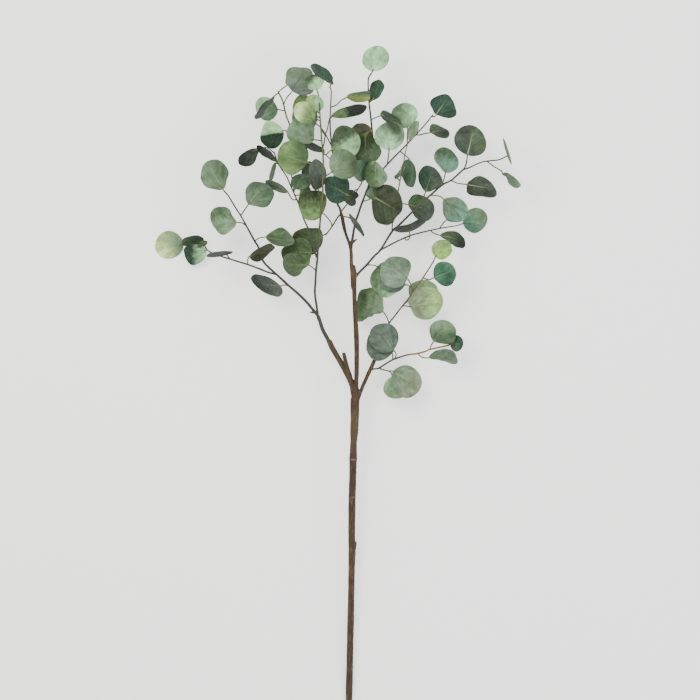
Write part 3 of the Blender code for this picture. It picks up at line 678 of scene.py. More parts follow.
leftLeaves = [
    ("low", [(-186, 307), (-189, 311)], 119, (-203, 336), 120, 50, 47, [(-203, 360), (-190, 356),
     (-180, 342), (-181, 331), (-188, 312), (-203, 311), (-218, 316), (-225, 327), (-225, 338),
     (-219, 354)], "sage", "sageDeep", 0, {"rib": 0.45}),
    ("low", [(-160, 268), (-150, 288)], 110, (-131, 305), 127, 49, 41, [(-145, 323), (-131, 324),
     (-117, 320), (-106, 308), (-109, 296), (-117, 286), (-128, 283), (-149, 288), (-152, 299),
     (-153, 312)], "dust", "sageDeep", -20, {"rib": 0.5}),
    ("low", [(-150, 250), (-158, 256), (-167, 257)], 98, (-190.5, 261), 0, 48, 43, [(-192, 283),
     (-181, 281), (-173, 268), (-167, 255), (-176, 243), (-188, 236), (-196, 240), (-209, 258), (-210, 272),
     (-203, 281)], "sageDeep", "sage", -60, {"rib": 0.45}),
    ("low", [(-137, 226), (-130, 231), (-119, 231)], 98, (-94, 230), -100, 50, 31, [(-119, 231),
     (-109, 241), (-97, 246), (-86, 243), (-76, 234), (-72, 222), (-82, 215), (-96, 215), (-110, 219)],
     "moss", "sageDeep", 0, {"rib": 0.35}),
    ("low_side", [(-149, 188), (-149, 194), (-146, 200)], 95, (-125, 208), 118, 48, 22, [(-146, 202),
     (-141, 195), (-128, 195), (-113, 207), (-104, 217), (-115, 224), (-127, 218), (-140, 209)], "loam",
     "loam", 0, {"rib": 0.2}),
    ("low", [(-80, 152), (-88, 154), (-93, 155)], 80, (-116.5, 155), 58, 60, 26, "oval", "night", "stone",
     0, {}),
    ("low_side", [(-178, 197), (-183, 200)], 58, (-195, 206), 99, 46, 8, "oval", "night", "night", 0,
     {"cup": 0.01, "wave": 0.4}),
    ("low_side", [(-252, 223), (-257, 223)], 0.45, (-280.5, 221), 0, 46.5, 46.5, "round", "straw", "sage",
     20, {}),
    ("low_side", [(-225, 218), (-224, 222)], 22, (-240, 229), 105, 38, 17, [(-258, 228), (-254, 235),
     (-239, 238), (-225, 235), (-222, 228), (-226, 220), (-240, 220), (-256, 221)], "bottle", "moss", -90,
     {}),
    ("low_side", [(-211, 209), (-217, 208)], 31, (-235, 206), 90, 40, 32, [(-254, 218), (-254, 205),
     (-249, 194), (-240, 189), (-228, 193), (-219, 202), (-218, 212), (-224, 221), (-240, 223)], "bottle",
     "pale", 0, {"soft": 0.45}),
    ("low_side", [(-216, 213), (-219, 217)], 33, (-224, 222), 120, 20, 9, "oval", "mossGrey", "olive", 0,
     {}),
    ("tall", [(-36, 177), (-42, 183), (-49, 188)], 96, (-72, 187), 200, 46, 40, [(-92, 192), (-88, 177),
     (-75, 167), (-64, 170), (-56, 181), (-48, 189), (-52, 200), (-70, 206), (-86, 203)], "mossGrey",
     "moss", 0, {"rib": 0.2}),
    ("fan", [(-38, 209), (-44, 207)], 86, (-67, 209), 0, 48, 46, [(-71, 229), (-60, 232), (-49, 227),
     (-43, 217), (-44, 200), (-53, 188), (-70, 185), (-88, 192), (-93, 206), (-92, 214), (-82, 222)],
     "moss", "moss", -60, {}),
    ("fan", [(-69, 295), (-73, 294), (-77.5, 298), (-82.4, 309)], 96, (-101, 317), 62, 40, 14, "oval",
     "bottle", "mossGrey", 0, {}),
    ("fan", [(-98, 353), (-103, 354)], 106, (-108, 340), 165, 32, 8, "oval", "mossGrey", "dust", 0,
     {"cup": 0.02}),
    ("fan", [(-99, 355), (-102, 359)], 102, (-117, 371), 54, 40, 13, "oval", "night", "night", 0,
     {"cup": 0.02}),
    ("fan", [(-104, 371), (-118, 380), (-133, 377)], 95, (-149, 364), 127, 38, 25, "drop", "slate", "stone",
     0, {"rib": 0.1}),
    ("tall", [(-25, 345), (-38, 350), (-50, 355)], 114, (-75.5, 362), 180, 57, 50, [(-75, 391), (-60, 387),
     (-51, 376), (-50, 360), (-57, 346), (-70, 336), (-80, 334), (-90, 341), (-99, 356), (-99, 372),
     (-91, 386)], "fern", "moss", 15, {"soft": 0.5, "rib": 0.1, "shift": 0.3}),
    ("tall", [(-27, 296), (-31, 303), (-33, 309)], 98, (-35, 335), 180, 53, 30, [(-47, 350), (-38, 361),
     (-28, 356), (-20, 341), (-21, 326), (-28, 314), (-40, 310), (-46, 322), (-48, 336)], "stone", "mist",
     70, {"rib": 0.1}),
    ("fan_top", [(-72.5, 311), (-69, 313)], 88, (-61, 325), 90, 34, 26, "round", "sageDeep", "sageDeep", 0,
     {}),
    ("fan_top", [(-75, 328), (-64, 329), (-57, 332)], 84, (-48, 341), 180, 34, 24, "round", "dust",
     "mossGrey", 90, {}),
    ("fan", [(-71, 302), (-65, 302)], 83, (-54, 306), 180, 26, 20, "round", "ash", "dust", 0, {}),
    # its lower half bends down and shows its underside in shade: painted shade in the dark tone, with a
    # sharp line where it bends
    ("fan_top", [(-79, 402), (-83, 405), (-88, 405)], 98, (-108, 403), 80, 44, 40, [(-113, 426),
     (-102, 422), (-93, 414), (-89, 406), (-90, 395), (-97, 384), (-109, 380), (-122, 386), (-128, 396),
     (-126, 408), (-122, 419)], "mint", "bottle", -82, {"soft": 0.1, "rib": 0.0}),
    ("fan_top", [(-98, 470), (-105, 466)], 98, (-122, 447), -41, 48, 16, [(-105, 467), (-104, 457),
     (-111, 446), (-116, 434), (-125, 425), (-134, 425), (-137, 432), (-129, 442), (-114, 457)], "night",
     "night", -45, {"soft": 0.2, "rib": 0.3, "cup": 0.02}),
    ("fan_top", [(-88, 440), (-98, 443)], 84, (-116, 444), 0, 42, 37, [(-133, 457), (-125, 464),
     (-113, 463), (-104, 455), (-98, 442), (-102, 431), (-111, 425), (-122, 426), (-132, 436), (-135, 447)],
     "pale", "sage", 0, {}),
    ("fan_top", [(-89, 451), (-84, 462), (-77, 470)], 105, (-63, 488), 240, 49, 47, [(-86, 500), (-83, 508),
     (-75, 512), (-60, 512), (-47, 510), (-41, 500), (-40, 482), (-42, 470), (-57, 465), (-72, 470),
     (-81, 479), (-85, 488)], "dust", "mist", -90, {"rib": 0.05}),
    ("fan_top", [(-98, 471), (-92, 477), (-85, 483)], 84, (-70, 494), -60, 34, 28, "round", "umber",
     "stone", 0, {}),
    ("tall_left", [(-33, 469), (-34, 474)], 99, (-41, 488), 90, 34, 31, [(-56, 485), (-50, 496), (-38, 500),
     (-24, 496), (-24, 486), (-31, 476), (-46, 476)], "sageDeep", "mint", -40, {"soft": 0.3, "rib": 0.1}),
    ("tall_left", [(-27, 391), (-41, 391)], 108, (-61, 408), 140, 48, 45, [(-85, 402), (-80, 416),
     (-68, 428), (-50, 431), (-40, 420), (-39, 400), (-43, 387), (-60, 386), (-79, 391)], "sage", "dust", 0,
     {"rib": 0.1}),
    ("tall", [(-25, 366), (-22, 373)], 108, (-41, 380), 250, 40, 14, "oval", "night", "night", 0,
     {"cup": 0.01}),
    ("tall_left", [(-29, 424), (-31, 426)], 89, (-54, 430), 0, 48, 42, "round", "dust", "dust", 0, {}),
    ("tall_left", [(-30, 436), (-34, 440)], 98, (-38, 453), 60, 31, 27, "round", "grass", "pale", 0, {}),
    ("tall_left", [(-29, 428), (-38, 438)], 96, (-57, 448), 0, 42, 31, "round", "fern", "fern", 0, {}),
    ("tall_right", [(-15, 424), (-10, 430)], 108, (19, 440), 103, 59, 18, "oval", "slate", "fern", -150,
     {"soft": 0.2, "rib": 0.2, "shift": 0.2}),
    ("tall", [(-24, 329), (-13, 337)], 120, (10, 352), 37, 52, 46, "round", "sage", "mossGrey", 0,
     {"rib": 0.2}),
]

centreLeftTwigs = {
    "main": ([(15.8, 230, 75.2), (12.4, 240, 76.9), (8.8, 256, 81), (6.2, 268, 84), (3, 280, 86),
        (-1, 289, 87), (-4, 310, 88), (-6, 340, 91), (-8, 365, 95), (-10, 382, 98)], 4.4, 3.0, "green"),
    "upper": ([(-10, 382, 98), (-12, 400, 99), (-13, 425, 100), (-12, 450, 103), (-11, 473, 110),
        (-14, 479, 114)], 2.6, 2.0, "green"),
    "over": ([(-10, 382, 98), (-15, 391, 107), (-21, 402, 118), (-28, 412, 126), (-37, 419, 129)], 2.4, 2.0,
        "green"),
    "side": ([(5, 271, 85), (0, 266, 85), (-10, 250, 83), (-21, 236, 78)], 3.0, 2.2),
    "inner": ([(5, 275, 85), (15, 287, 89), (28, 303, 94), (32, 310, 97), (38, 320, 100)], 2.4, 1.8),
}
centreLeftLeaves = [
    ("side", [(-18, 240), (-24, 234)], 76, (-49, 224), -30, 55, 48, [(-74, 235), (-66, 244), (-53, 248),
     (-38, 248), (-28, 246), (-24, 236), (-25, 222), (-32, 211), (-39, 204), (-55, 203), (-70, 215)],
     "oliveNight", "moss", 0, {"rib": 0.05}),
    ("side", [(-10, 250), (-12, 258), (-20, 269)], 92, (-43, 285), 150, 50, 49, [(-66, 291), (-62, 304),
     (-50, 309), (-36, 310), (-23, 306), (-19, 293), (-22, 278), (-30, 265), (-43, 260), (-56, 264),
     (-63, 276)], "oliveNight", "fern", -85, {"soft": 0.8, "rib": 0.05}),
    ("inner", [(26, 301), (17, 301)], 97, (-3, 312), 90, 46, 42, [(-22, 319), (-18, 331), (-2, 333),
     (13, 331), (19, 321), (18, 306), (11, 293), (0, 288), (-12, 291), (-20, 302)], "fir", "fir", 0,
     {"rib": 0.3}),
    ("inner", [(33, 312), (27, 309)], 102, (21, 298), 60, 28, 26, [(9, 295), (19, 285), (29, 286),
     (30, 295), (35, 302), (28, 309), (18, 311), (9, 305)], "umber", "slate", 0, {"rib": 0.1}),
    ("main", [(7, 268), (20, 264), (27, 259)], 90, (31.5, 254), 34, 46, 8, "oval", "stone", "teal", -45,
     {}),
    ("inner", [(35, 315), (40, 322)], 99, (37, 342), 180, 36, 27, "round", "dust", "teal", 0, {}),
    ("main", [(-9, 372), (-7, 376)], 101, (14, 390), 45, 57, 50, [(-8, 400), (-2, 412), (8, 417), (22, 414),
     (33, 403), (38, 388), (33, 372), (20, 362), (4, 362), (-6, 372), (-10, 386)], "mossGrey", "pale", -65,
     {"soft": 0.35, "rib": 0.1}),
    ("upper", [(-12, 446), (-2, 450), (5, 457), (15, 463)], 118, (34, 464), 90, 38, 20, [(14, 463),
     (22, 469), (36, 471), (51, 473), (53, 466), (50, 457), (36, 455), (24, 456)], "dust", "citron", -90,
     {"soft": 0.25, "rib": 0.1}),
    ("upper", [(-14, 478), (-11, 483)], 122, (-27, 500), 226, 46, 22, [(-47, 512), (-40, 517), (-32, 515),
     (-23, 510), (-12, 499), (-9, 487), (-11, 481), (-19, 487), (-28, 494), (-40, 497), (-47, 504)],
     "bottle", "bottle", 0, {"rib": 0.1}),
    ("over", [(-35, 417), (-39, 421)], 130, (-55, 437), 120, 37, 35, [(-73, 438), (-70, 449), (-61, 454),
     (-49, 454), (-40, 447), (-37, 433), (-42, 423), (-55, 418), (-68, 426)], "straw", "fern", -25,
     {"soft": 0.5, "rib": 0.2}),
]

centreRightTwigs = {
    "main": ([(24, 230, 75), (25.4, 240, 76.2), (28.4, 256, 78), (33, 270, 80), (38, 285, 82),
        (43, 298, 84), (50, 316, 86), (62, 332, 87), (75, 346, 88), (92, 364, 90), (102, 374, 91),
        (115, 387, 92), (128, 401, 93), (140, 414, 94), (150, 426, 95), (156, 434, 96)], 4.0, 2.0),
    "crown": ([(50, 316, 86), (57, 345, 80), (60, 375, 78), (57, 400, 82), (54, 430, 92), (51, 455, 101),
        (50, 470, 105), (50, 492, 109), (55, 502, 110.5)], 3.6, 2.5),
}
centreRightLeaves = [
    ("crown", [(57, 402), (50, 405), (45, 401)], 101, (45, 377), 90, 51, 48, [(24, 392), (32, 400),
     (45, 403), (57, 398), (66, 386), (72, 374), (64, 360), (50, 354), (36, 354), (25, 364), (21, 378)],
     "oliveNight", "mossGrey", -60, {"rib": 0.3, "soft": 0.4}),
    ("crown", [(57, 404), (53, 408)], 84, (39, 403), 0, 40, 33, [(22, 410), (30, 419), (42, 421), (53, 416),
     (59, 404), (54, 392), (42, 387), (28, 392), (21, 401)], "drab", "oliveNight", -90, {"rib": 0.2}),
    ("crown", [(58, 351), (61, 356)], 96, (62, 336), -90, 42, 39, [(43, 340), (50, 354), (61, 358),
     (72, 348), (81, 334), (80, 325), (72, 317), (61, 314), (51, 318), (44, 328)], "moss", "sage", 15,
     {"soft": 0.4, "rib": 0.25}),
    ("main", [(41, 291), (46, 293), (51, 298)], 90, (59, 306), -60, 26, 24, "round", "dust", "mossGrey", 0,
     {}),
    ("main", [(45, 303), (50, 300), (56, 299)], 94, (82, 285), 0, 64, 51, [(57, 297), (66, 312), (77, 319),
     (90, 317), (100, 308), (107, 293), (107, 280), (101, 268), (94, 263), (90, 255), (81, 252), (68, 256),
     (60, 267), (57, 282)], "umber", "umber", 0, {"rib": 0.45}),
    ("crown", [(51, 454), (55, 458)], 108, (64, 474), -31, 36, 24, [(52, 474), (55, 484), (62, 490),
     (70, 491), (77, 480), (73, 469), (66, 460), (54, 456), (50, 460)], "bottle", "teal", 0, {"rib": 0.15}),
    ("crown", [(54, 500), (57, 506)], 112, (62, 527), 90, 45, 44, [(40, 524), (43, 535), (51, 543),
     (65, 547), (77, 543), (84, 531), (83, 521), (77, 512), (68, 507), (58, 505), (49, 508), (42, 515)],
     "pale", "pale", 0, {"rib": 0.25}),
    ("crown", [(55, 426), (62, 429), (71, 430)], 124, (91, 420), -137, 48, 20, [(69, 431), (75, 441),
     (90, 433), (101, 424), (104, 412), (98, 403), (88, 409), (79, 421)], "slate", "mossGrey", 0,
     {"rib": 0.15}),
    ("main", [(81, 352), (83, 365), (84, 377)], 97, (83, 401), 90, 51, 49, [(60, 400), (63, 410), (74, 419),
     (88, 423), (103, 418), (109, 406), (108, 392), (98, 380), (84, 376), (69, 382), (61, 391)], "dust",
     "pale", -120, {"rib": 0.1, "soft": 0.5}),
    ("main", [(154, 431), (158, 437)], 98, (172, 449), 110, 44, 37, [(150, 455), (158, 464), (171, 468),
     (181, 467), (189, 457), (193, 447), (193, 434), (181, 430), (169, 432), (159, 436), (154, 446)], "fir",
     "fir", 0, {"rib": 0.85}),
    ("main", [(128, 401), (135, 401), (142, 403), (150, 406)], 92, (166, 408), 90, 34, 23, [(150, 407),
     (153, 418), (161, 419), (172, 413), (182, 408), (183, 400), (177, 396), (167, 397), (157, 402)],
     "mossGrey", "stone", -20, {"rib": 0.6}),
    ("main", [(102, 374), (110, 368), (117, 361)], 88, (122, 337), 0, 49, 20, [(110, 344), (113, 357),
     (119, 361), (127, 349), (131, 336), (132, 323), (127, 315), (117, 317), (111, 330)], "sageDeep",
     "teal", 0, {"rib": 0.2}),
]

rightTwigs = {
    "main": ([(34, 174, 69.8), (40, 180, 71), (47, 187, 73), (60, 202, 76), (70, 212, 78), (89, 242, 83),
        (100, 252, 84), (120, 272, 86), (135, 288, 86), (150, 300, 85), (172, 319, 83), (187, 327, 81),
        (206, 344, 78)], 3.8, 3.0, "dusk"),
    "end_up": ([(206, 344, 78), (210, 350, 79), (213, 363, 83)], 2.8, 2.3, "green"),
    "end_out": ([(206, 344, 78), (215, 347, 77), (235, 356, 73), (250, 359, 71), (262, 360, 69),
        (272, 363, 68)], 2.5, 2.2),
    "end_down": ([(246, 358, 71.5), (258, 349, 68), (271, 342, 65)], 2.1, 1.9, "green"),
    "thin": ([(89, 242, 83), (90, 258, 84), (95, 285, 87), (99, 308, 91), (103, 330, 97), (107, 350, 103),
        (110, 368, 108), (115, 388, 112)], 2.2, 1.8, "green"),
    "low": ([(70, 212, 78), (80, 217, 76), (95, 225, 72), (108, 231, 68), (120, 236, 63), (134, 240, 56),
        (150, 244, 47), (168, 248, 36), (185, 251, 24), (197, 253, 12), (205, 256, 3)], 3.0, 1.8),
}
rightLeaves = [
    ("thin", [(90, 256), (92, 261)], 80, (78, 276), 0, 44, 38, "round", "umber", "umber", 0, {}),
    ("thin", [(114, 386), (114, 396), (112, 404)], 89, (111, 433), 0, 43, 42, [(89, 438), (94, 447),
     (107, 454), (120, 452), (129, 445), (132, 437), (129, 426), (120, 415), (105, 412), (93, 420)],
     "sageDeep", "pale", 0, {"rib": 0.15}),
    ("thin", [(115, 387), (118, 392)], 114, (124, 408), -24, 34, 16, "oval", "dust", "ash", 0, {}),
    ("thin", [(102, 325), (99, 329)], 102, (103, 340), -35, 28, 11, [(94, 331), (98, 338), (104, 345),
     (111, 348), (112, 338), (105, 330), (97, 326)], "moss", "dust", 0, {"rib": 0.1}),
    ("main", [(139, 291), (142, 301), (145, 308)], 92, (152, 330), 90, 43, 41, [(132, 336), (137, 346),
     (145, 351), (158, 347), (168, 336), (172, 325), (165, 315), (154, 309), (144, 308), (137, 316),
     (133, 325)], "bottle", "stone", 10, {"soft": 0.35, "rib": 0.25, "shift": 0.0}),
    ("thin", [(95, 287), (104, 288), (113, 287)], 78, (135.5, 282), 180, 48, 45, [(115, 288), (120, 300),
     (129, 304), (141, 301), (154, 293), (159, 282), (157, 270), (148, 260), (136, 260), (126, 267),
     (120, 278)], "moss", "stone", -60, {"rib": 0.2}),
    ("low", [(110, 232), (113, 228), (118, 232), (119, 240)], 68, (120, 249), -72, 57, 17, [(92, 241),
     (99, 248), (115, 254), (132, 260), (143, 261), (146, 256), (140, 249), (126, 244), (110, 240)],
     "stone", "stone", 0, {"rib": 0.1}),
    ("main", [(152, 302), (168, 300), (177, 294)], 80, (194, 280), 90, 43, 41, [(172, 284), (174, 295),
     (186, 299), (199, 298), (210, 289), (215, 277), (210, 263), (197, 258), (182, 261), (174, 270)],
     "dust", "sea", -40, {"rib": 0.15}),
    ("low", [(168, 248), (172, 254), (177, 261)], 44, (192, 269), 90, 36, 30, [(178, 264), (186, 259),
     (200, 259), (207, 266), (208, 278), (195, 284), (182, 278)], "sea", "sea", 0, {}),
    ("low", [(203, 255), (208, 257)], 0.45, (229, 261.5), 0, 42.5, 42.5, [(207, 259), (210, 271),
     (218, 280), (230, 283), (242, 278), (248, 267), (245, 254), (234, 243), (223, 241), (212, 248)], "sea",
     "sage", 40, {"rib": 0.1}),
    ("end_up", [(213, 361), (213, 367)], 86, (218.5, 391.5), 90, 54, 50, [(191, 396), (195, 406),
     (205, 415), (217, 417), (229, 413), (239, 403), (244, 389), (243, 378), (235, 369), (222, 366),
     (212, 368), (199, 376), (192, 387)], "stone", "mossGrey", 0, {"rib": 0.9}),
    ("low", [(153, 245), (158, 240), (170, 238)], 45, (191, 230), 62, 44, 30, [(170, 236), (176, 243),
     (193, 245), (204, 240), (210, 231), (211, 221), (207, 217), (194, 218), (183, 226)], "mossGrey",
     "slate", -20, {"rib": 0.5}),
    ("end_out", [(270, 362), (276, 366)], 69, (278.5, 374), 18, 48, 3.4, "oval", "stone", "dust", 0,
     {"cup": 0.0, "fold": 0.0, "wave": 0.2}),
    ("end_down", [(269, 343), (274, 338)], 64, (288, 328.5), 55, 36, 12, [(273, 340), (285, 338),
     (294, 329), (302, 319), (296, 316), (286, 320), (279, 330)], "sageDeep", "dust", 0, {"rib": 0.2}),
    ("main", [(171, 318), (175, 330), (177, 340)], 89, (178.5, 361), 90, 42, 40, [(158, 362), (160, 374),
     (169, 381), (182, 379), (193, 369), (199, 357), (195, 346), (185, 340), (176, 340), (166, 350)],
     "sageDeep", "sea", -90, {"rib": 0.2}),
    ("main", [(185, 326), (190, 325), (196, 322), (212, 320)], 78, (236.5, 316), 90, 50, 36, [(212, 318),
     (217, 326), (229, 334), (240, 332), (251, 325), (259, 314), (262, 305), (259, 298), (236, 301),
     (215, 304)], "umber", "stone", 40, {"rib": 0.8}),
    ("main", [(47, 187), (58, 187), (64, 186)], 74, (76, 164), 120, 55, 48, [(77, 196), (66, 188),
     (55, 175), (52, 165), (54, 154), (62, 144), (79, 135), (90, 140), (100, 150), (101, 170), (92, 188)],
     "sage", "pale", 0, {"rib": 0.1}),
]

lowerRightTwigs = {
    "main": ([(54, 16, 53), (58, 24, 53.5), (61, 32, 54), (72, 60, 57), (84, 90, 61), (92, 101, 62),
        (105, 118, 64), (117, 133, 66), (127, 148, 68), (138, 163, 70), (148, 178, 72), (158, 194, 75)],
        3.0, 2.3, "hazel"),
    "low": ([(54, 14.5, 53.2), (60, 15.8, 54), (67, 17, 54.5), (80, 25, 55), (93, 32, 55), (115, 39, 54),
        (130, 41, 53), (145, 45, 52), (152, 48, 51), (175, 53, 50), (184, 55, 50)], 3.0, 2.7, "amber"),
    "fork": ([(67, 17, 54.5), (75, 14.4, 56), (84, 12.4, 57.6)], 2.6, 2.1),
}
lowerRightLeaves = [
    ("fork", [(84, 12.4), (88, 12.4), (92, 13)], 60, (113, -3), 142, 55, 50, [(90, 12), (102, 21),
     (116, 22), (128, 15), (136, 4), (138, -8), (132, -22), (118, -31), (103, -29), (92, -18), (87, -2)],
     "dust", "lichen", -20, {"rib": 0.35}),
    ("fork", [(84, 12.4), (88, 8.5), (90, 3)], 42, (95, -15), 90, 40, 37, "round", "pale", "ash", -90, {}),
    ("low", [(93, 32), (96, 40), (90, 47)], 72, (77, 68), 90, 48, 46, [(53, 78), (60, 87), (73, 91),
     (86, 90), (96, 82), (100, 69), (97, 55), (88, 45), (72, 43), (57, 52), (51, 64)], "lead", "lead", -90,
     {"rib": 0.35}),
    ("low", [(90, 31), (90, 38), (88, 42)], 59, (69, 53), 150, 49, 48, [(53, 75), (47, 62), (47, 46),
     (55, 33), (67, 29), (79, 33), (90, 43), (95, 58), (88, 72), (70, 78)], "lead", "lead", 0,
     {"rib": 0.1}),
    ("low", [(132, 41), (137, 36), (145, 34), (151, 34)], 50, (175, 38), 90, 48, 30, [(151, 34), (155, 43),
     (165, 48), (178, 50), (190, 46), (196, 36), (197, 24), (186, 26), (170, 30)], "sageDeep", "dust", 0,
     {"rib": 0.1}),
    ("low", [(152, 48), (153, 53), (158, 61)], 58, (174, 77), 60, 45, 41, [(151, 79), (153, 88), (161, 95),
     (176, 97), (189, 90), (195, 80), (194, 68), (189, 59), (176, 57), (159, 61), (153, 69)], "sage",
     "sageDeep", -80, {"soft": 0.3, "rib": 0.1}),
    ("low", [(182, 55), (187, 57)], 51, (197, 58), 0, 29, 21, "oval", "sageDeep", "teal", 0, {}),
    ("main", [(84, 90), (82, 98), (79, 104), (73, 111)], 54, (53, 121), 0, 58, 44, [(32, 133), (34, 142),
     (43, 148), (56, 150), (68, 147), (75, 138), (75, 122), (74, 110), (60, 105), (45, 97), (36, 93),
     (32, 101), (31, 118)], "moss", "sage", -20, {"soft": 0.5, "rib": 0.25}),
    # painted paler than the leaf's own colour, to cancel the shadow that the leaf above casts on it
    ("main", [(107, 121), (112, 125), (117, 131)], 36, (139, 141), 180, 48, 43, [(115, 144), (118, 155),
     (129, 161), (146, 163), (159, 156), (164, 147), (160, 130), (140, 122), (122, 128)], "ash", "ash", 0,
     {"rib": 0.1}),
    ("main", [(105, 118), (110, 120), (118, 122)], 50, (146, 124), 90, 54, 52, [(116, 133), (118, 121),
     (123, 110), (131, 101), (144, 98), (157, 101), (168, 112), (173, 124), (172, 137), (163, 148),
     (148, 152), (128, 150)], "lichen", "grass", 0, {"rib": 0.35}),
    ("main", [(140, 166), (150, 163), (157, 166)], 75, (176, 173), 90, 41, 39, [(157, 170), (159, 185),
     (170, 193), (183, 191), (191, 184), (195, 172), (191, 160), (182, 152), (171, 154), (161, 162)],
     "jade", "jade", 0, {"rib": 0.6}),
    ("main", [(157, 192), (160, 198)], 79, (170, 213), 90, 34, 31, [(154, 212), (157, 223), (167, 229),
     (179, 229), (186, 222), (188, 211), (182, 202), (171, 197), (160, 201)], "grass", "lime", -85,
     {"rib": 0.0, "soft": 0.6}),
    ("main", [(124, 144), (120, 155), (113, 163)], 78, (96, 177), 180, 50, 47, [(79, 196), (90, 201),
     (105, 200), (116, 195), (120, 183), (116, 170), (110, 157), (95, 149), (79, 153), (70, 163),
     (69, 180)], "dust", "haze", -90, {"rib": 0.15}),
    ("main", [(122, 148), (115, 154), (109, 157)], 66, (90, 161), 100, 42, 38, "round", "dust", "lead", -90,
     {}),
]

# The old wood: the middle and the width of each tube along its way
woodRows = {
    "stem": [(18, -550, 5.0, 10.0), (18.1, -530, 6.8, 11.2), (18.3, -515, 8.0, 11.9),
        (19.2, -480, 10.9, 11.4), (20.2, -431, 15, 11.4), (20.9, -400, 17.8, 11.6),
        (21.9, -350, 22.3, 11.0), (22.8, -300, 26.7, 11.9), (23.3, -286, 28, 12.4),
        (22.6, -260, 30.5, 12.0), (22.8, -233, 33, 12.1), (23.2, -200, 36, 12.5), (24.3, -167, 39, 12.3),
        (25, -134, 42, 13.1), (25.9, -104, 44.7, 12.0), (26.8, -88, 46, 14.2), (27.6, -68, 47.5, 13.9),
        (27.9, -38, 50, 15.2), (29.8, -10, 52, 8.2), (30.7, 10, 53.2, 8.0), (30.9, 30, 55, 8.3),
        (30.8, 50, 57, 8.4), (30.5, 65, 58, 9.0), (29.7, 84, 59.6, 8.2), (28.6, 100, 61, 7.7),
        (27.4, 125, 63.5, 7.6), (26.9, 142, 65.2, 8.0), (26.6, 155, 66.6, 8.5), (26.6, 167, 67.7, 8.7),
        (26.4, 180, 69, 7.4), (26, 187, 69.8, 4.4)],
    "leader": [(24.4, 148, 66, 6.4), (23.9, 160, 67.2, 6.7), (23.5, 172, 68.6, 6.7), (22.6, 182, 69.8, 6.5),
        (22, 192, 70.8, 6.2), (21.9, 202, 71.8, 6.3), (21.4, 211, 72.8, 6.1), (19.6, 220, 73.7, 5.7),
        (15.8, 230, 75.2, 5.0), (12.4, 240, 76.9, 5.1), (10.1, 249, 79, 6.4), (8.5, 257, 81.2, 6.6),
        (6.7, 266, 83.5, 6.2), (4.3, 275, 85.2, 4.6)],
    "leader_right": [(21.6, 214, 73, 5.2), (22.6, 222, 74, 5.0), (23.9, 231, 75.1, 4.7),
        (25.4, 240, 76.2, 4.4), (27, 250, 77.2, 3.8)],
    "left_sleeve": [(27, -42, 50, 9.0), (23.5, -12, 50.5, 10.0), (13.4, 11, 51.5, 10.2),
        (3.2, 29, 53.5, 9.6), (-8.6, 49, 56, 9.7), (-15, 62.5, 58.2, 9.0)],
    "middle_stub": [(28, -30, 52, 6.4), (21.2, 0, 56, 7.2), (15, 19, 61, 6.8), (10.2, 38, 66, 7.1),
        (9, 42.5, 67.2, 5.8)],
    "right_branch": [(30.5, -43, 49.4, 6.2), (34.2, -31, 50, 6.2), (37.8, -21, 50.6, 6.4),
        (41.2, -12, 51.2, 6.5), (48, 3, 52, 6.8), (54, 16, 53, 6.9), (61, 32, 54, 6.6)],
    "right_bud": [(27, 166, 68.2, 6.0), (34.4, 174.2, 69.8, 4.8)],
    "small_stub": [(23, 222, 74, 3.6), (28, 227, 75, 3.3), (31, 230.5, 76, 2.8)],
    "old_scar": [(23.4, -302, 27, 5.8), (28.6, -274, 30, 5.2), (29.2, -270, 30.4, 2.8)],
}


# A living leaf: a waxy skin with a greyish bloom, which gives a soft broad shine
leafSkin = {
    "noises": {              # size mm, detail, roughness, distortion
        "blotch": (8, 4.0, 0.6, 0.0),
        "cloud": (24, 2.0, 0.5, 0.0),
        "rubbed": (4.2, 2.0, 0.5, 0.8),
        "speck": (1.4, 2.0, 0.5, 0.0),
    },
    "bloom": {               # from and to in the noise, and the shade at both
        "cloud": (0.35, 0.65, 0.82, 1.18),
        "blotch": (0.3, 0.7, 0.76, 1.24),
        "rubbed": (0.56, 0.7, 1.0, 0.8),
        "speck": (0.3, 0.7, 0.92, 1.08),
        "streak": (0.35, 0.68, 0.82, 1.26),
    },
    "streaks": (1.15, 5.0),  # half widths behind the middle that they fan out from, and how close
    "toneWander": 0.12,      # more, the softer the tones meet
    "veinColour": "#b1c98b",
    "veinStrength": 0.09,
    "veinCurve": -0.12,      # towards the tip
    "veinWander": 0.3,
    "veinSharpness": 14.0,
    "veinReach": (0.95, 0.5, 0.0, 1.0),      # from and to in half widths, and the strength at both
    "veinPatches": (0.4, 0.62, 0.15, 1.0),   # from and to in the noise, and the strength at both
    "ribColour": "#a3b584",
    "ribWidth": (-1.0, 0.8, 0.06, 0.016),    # from and to along the leaf, and the half width at both
    "ribEdge": (1.0, 0.3, 0.0, 1.0),         # from and to in its half width, and the strength at both
    "ribFade": (-0.9, 0.7, 1.0, 0.1),        # from and to along the leaf, and the strength at both
    "rimColour": "#788e47",  # the stalk end's too
    "foot": (0.0, 0.3, 0.35, 0.0),           # from and to in half widths from the stalk end
    "rimLine": (0.93, 1.0, 0.0, 0.25),       # from and to in shares of the side
    "relief": (1.2, 0.35, 0.35),             # of the blotches, the grain and the veins
    "roughness": (0.5, 0.72),
    "ior": 1.42,
    "specular": 0.14,
    "bump": (0.4, 0.3 * mm),                 # strength and depth
}


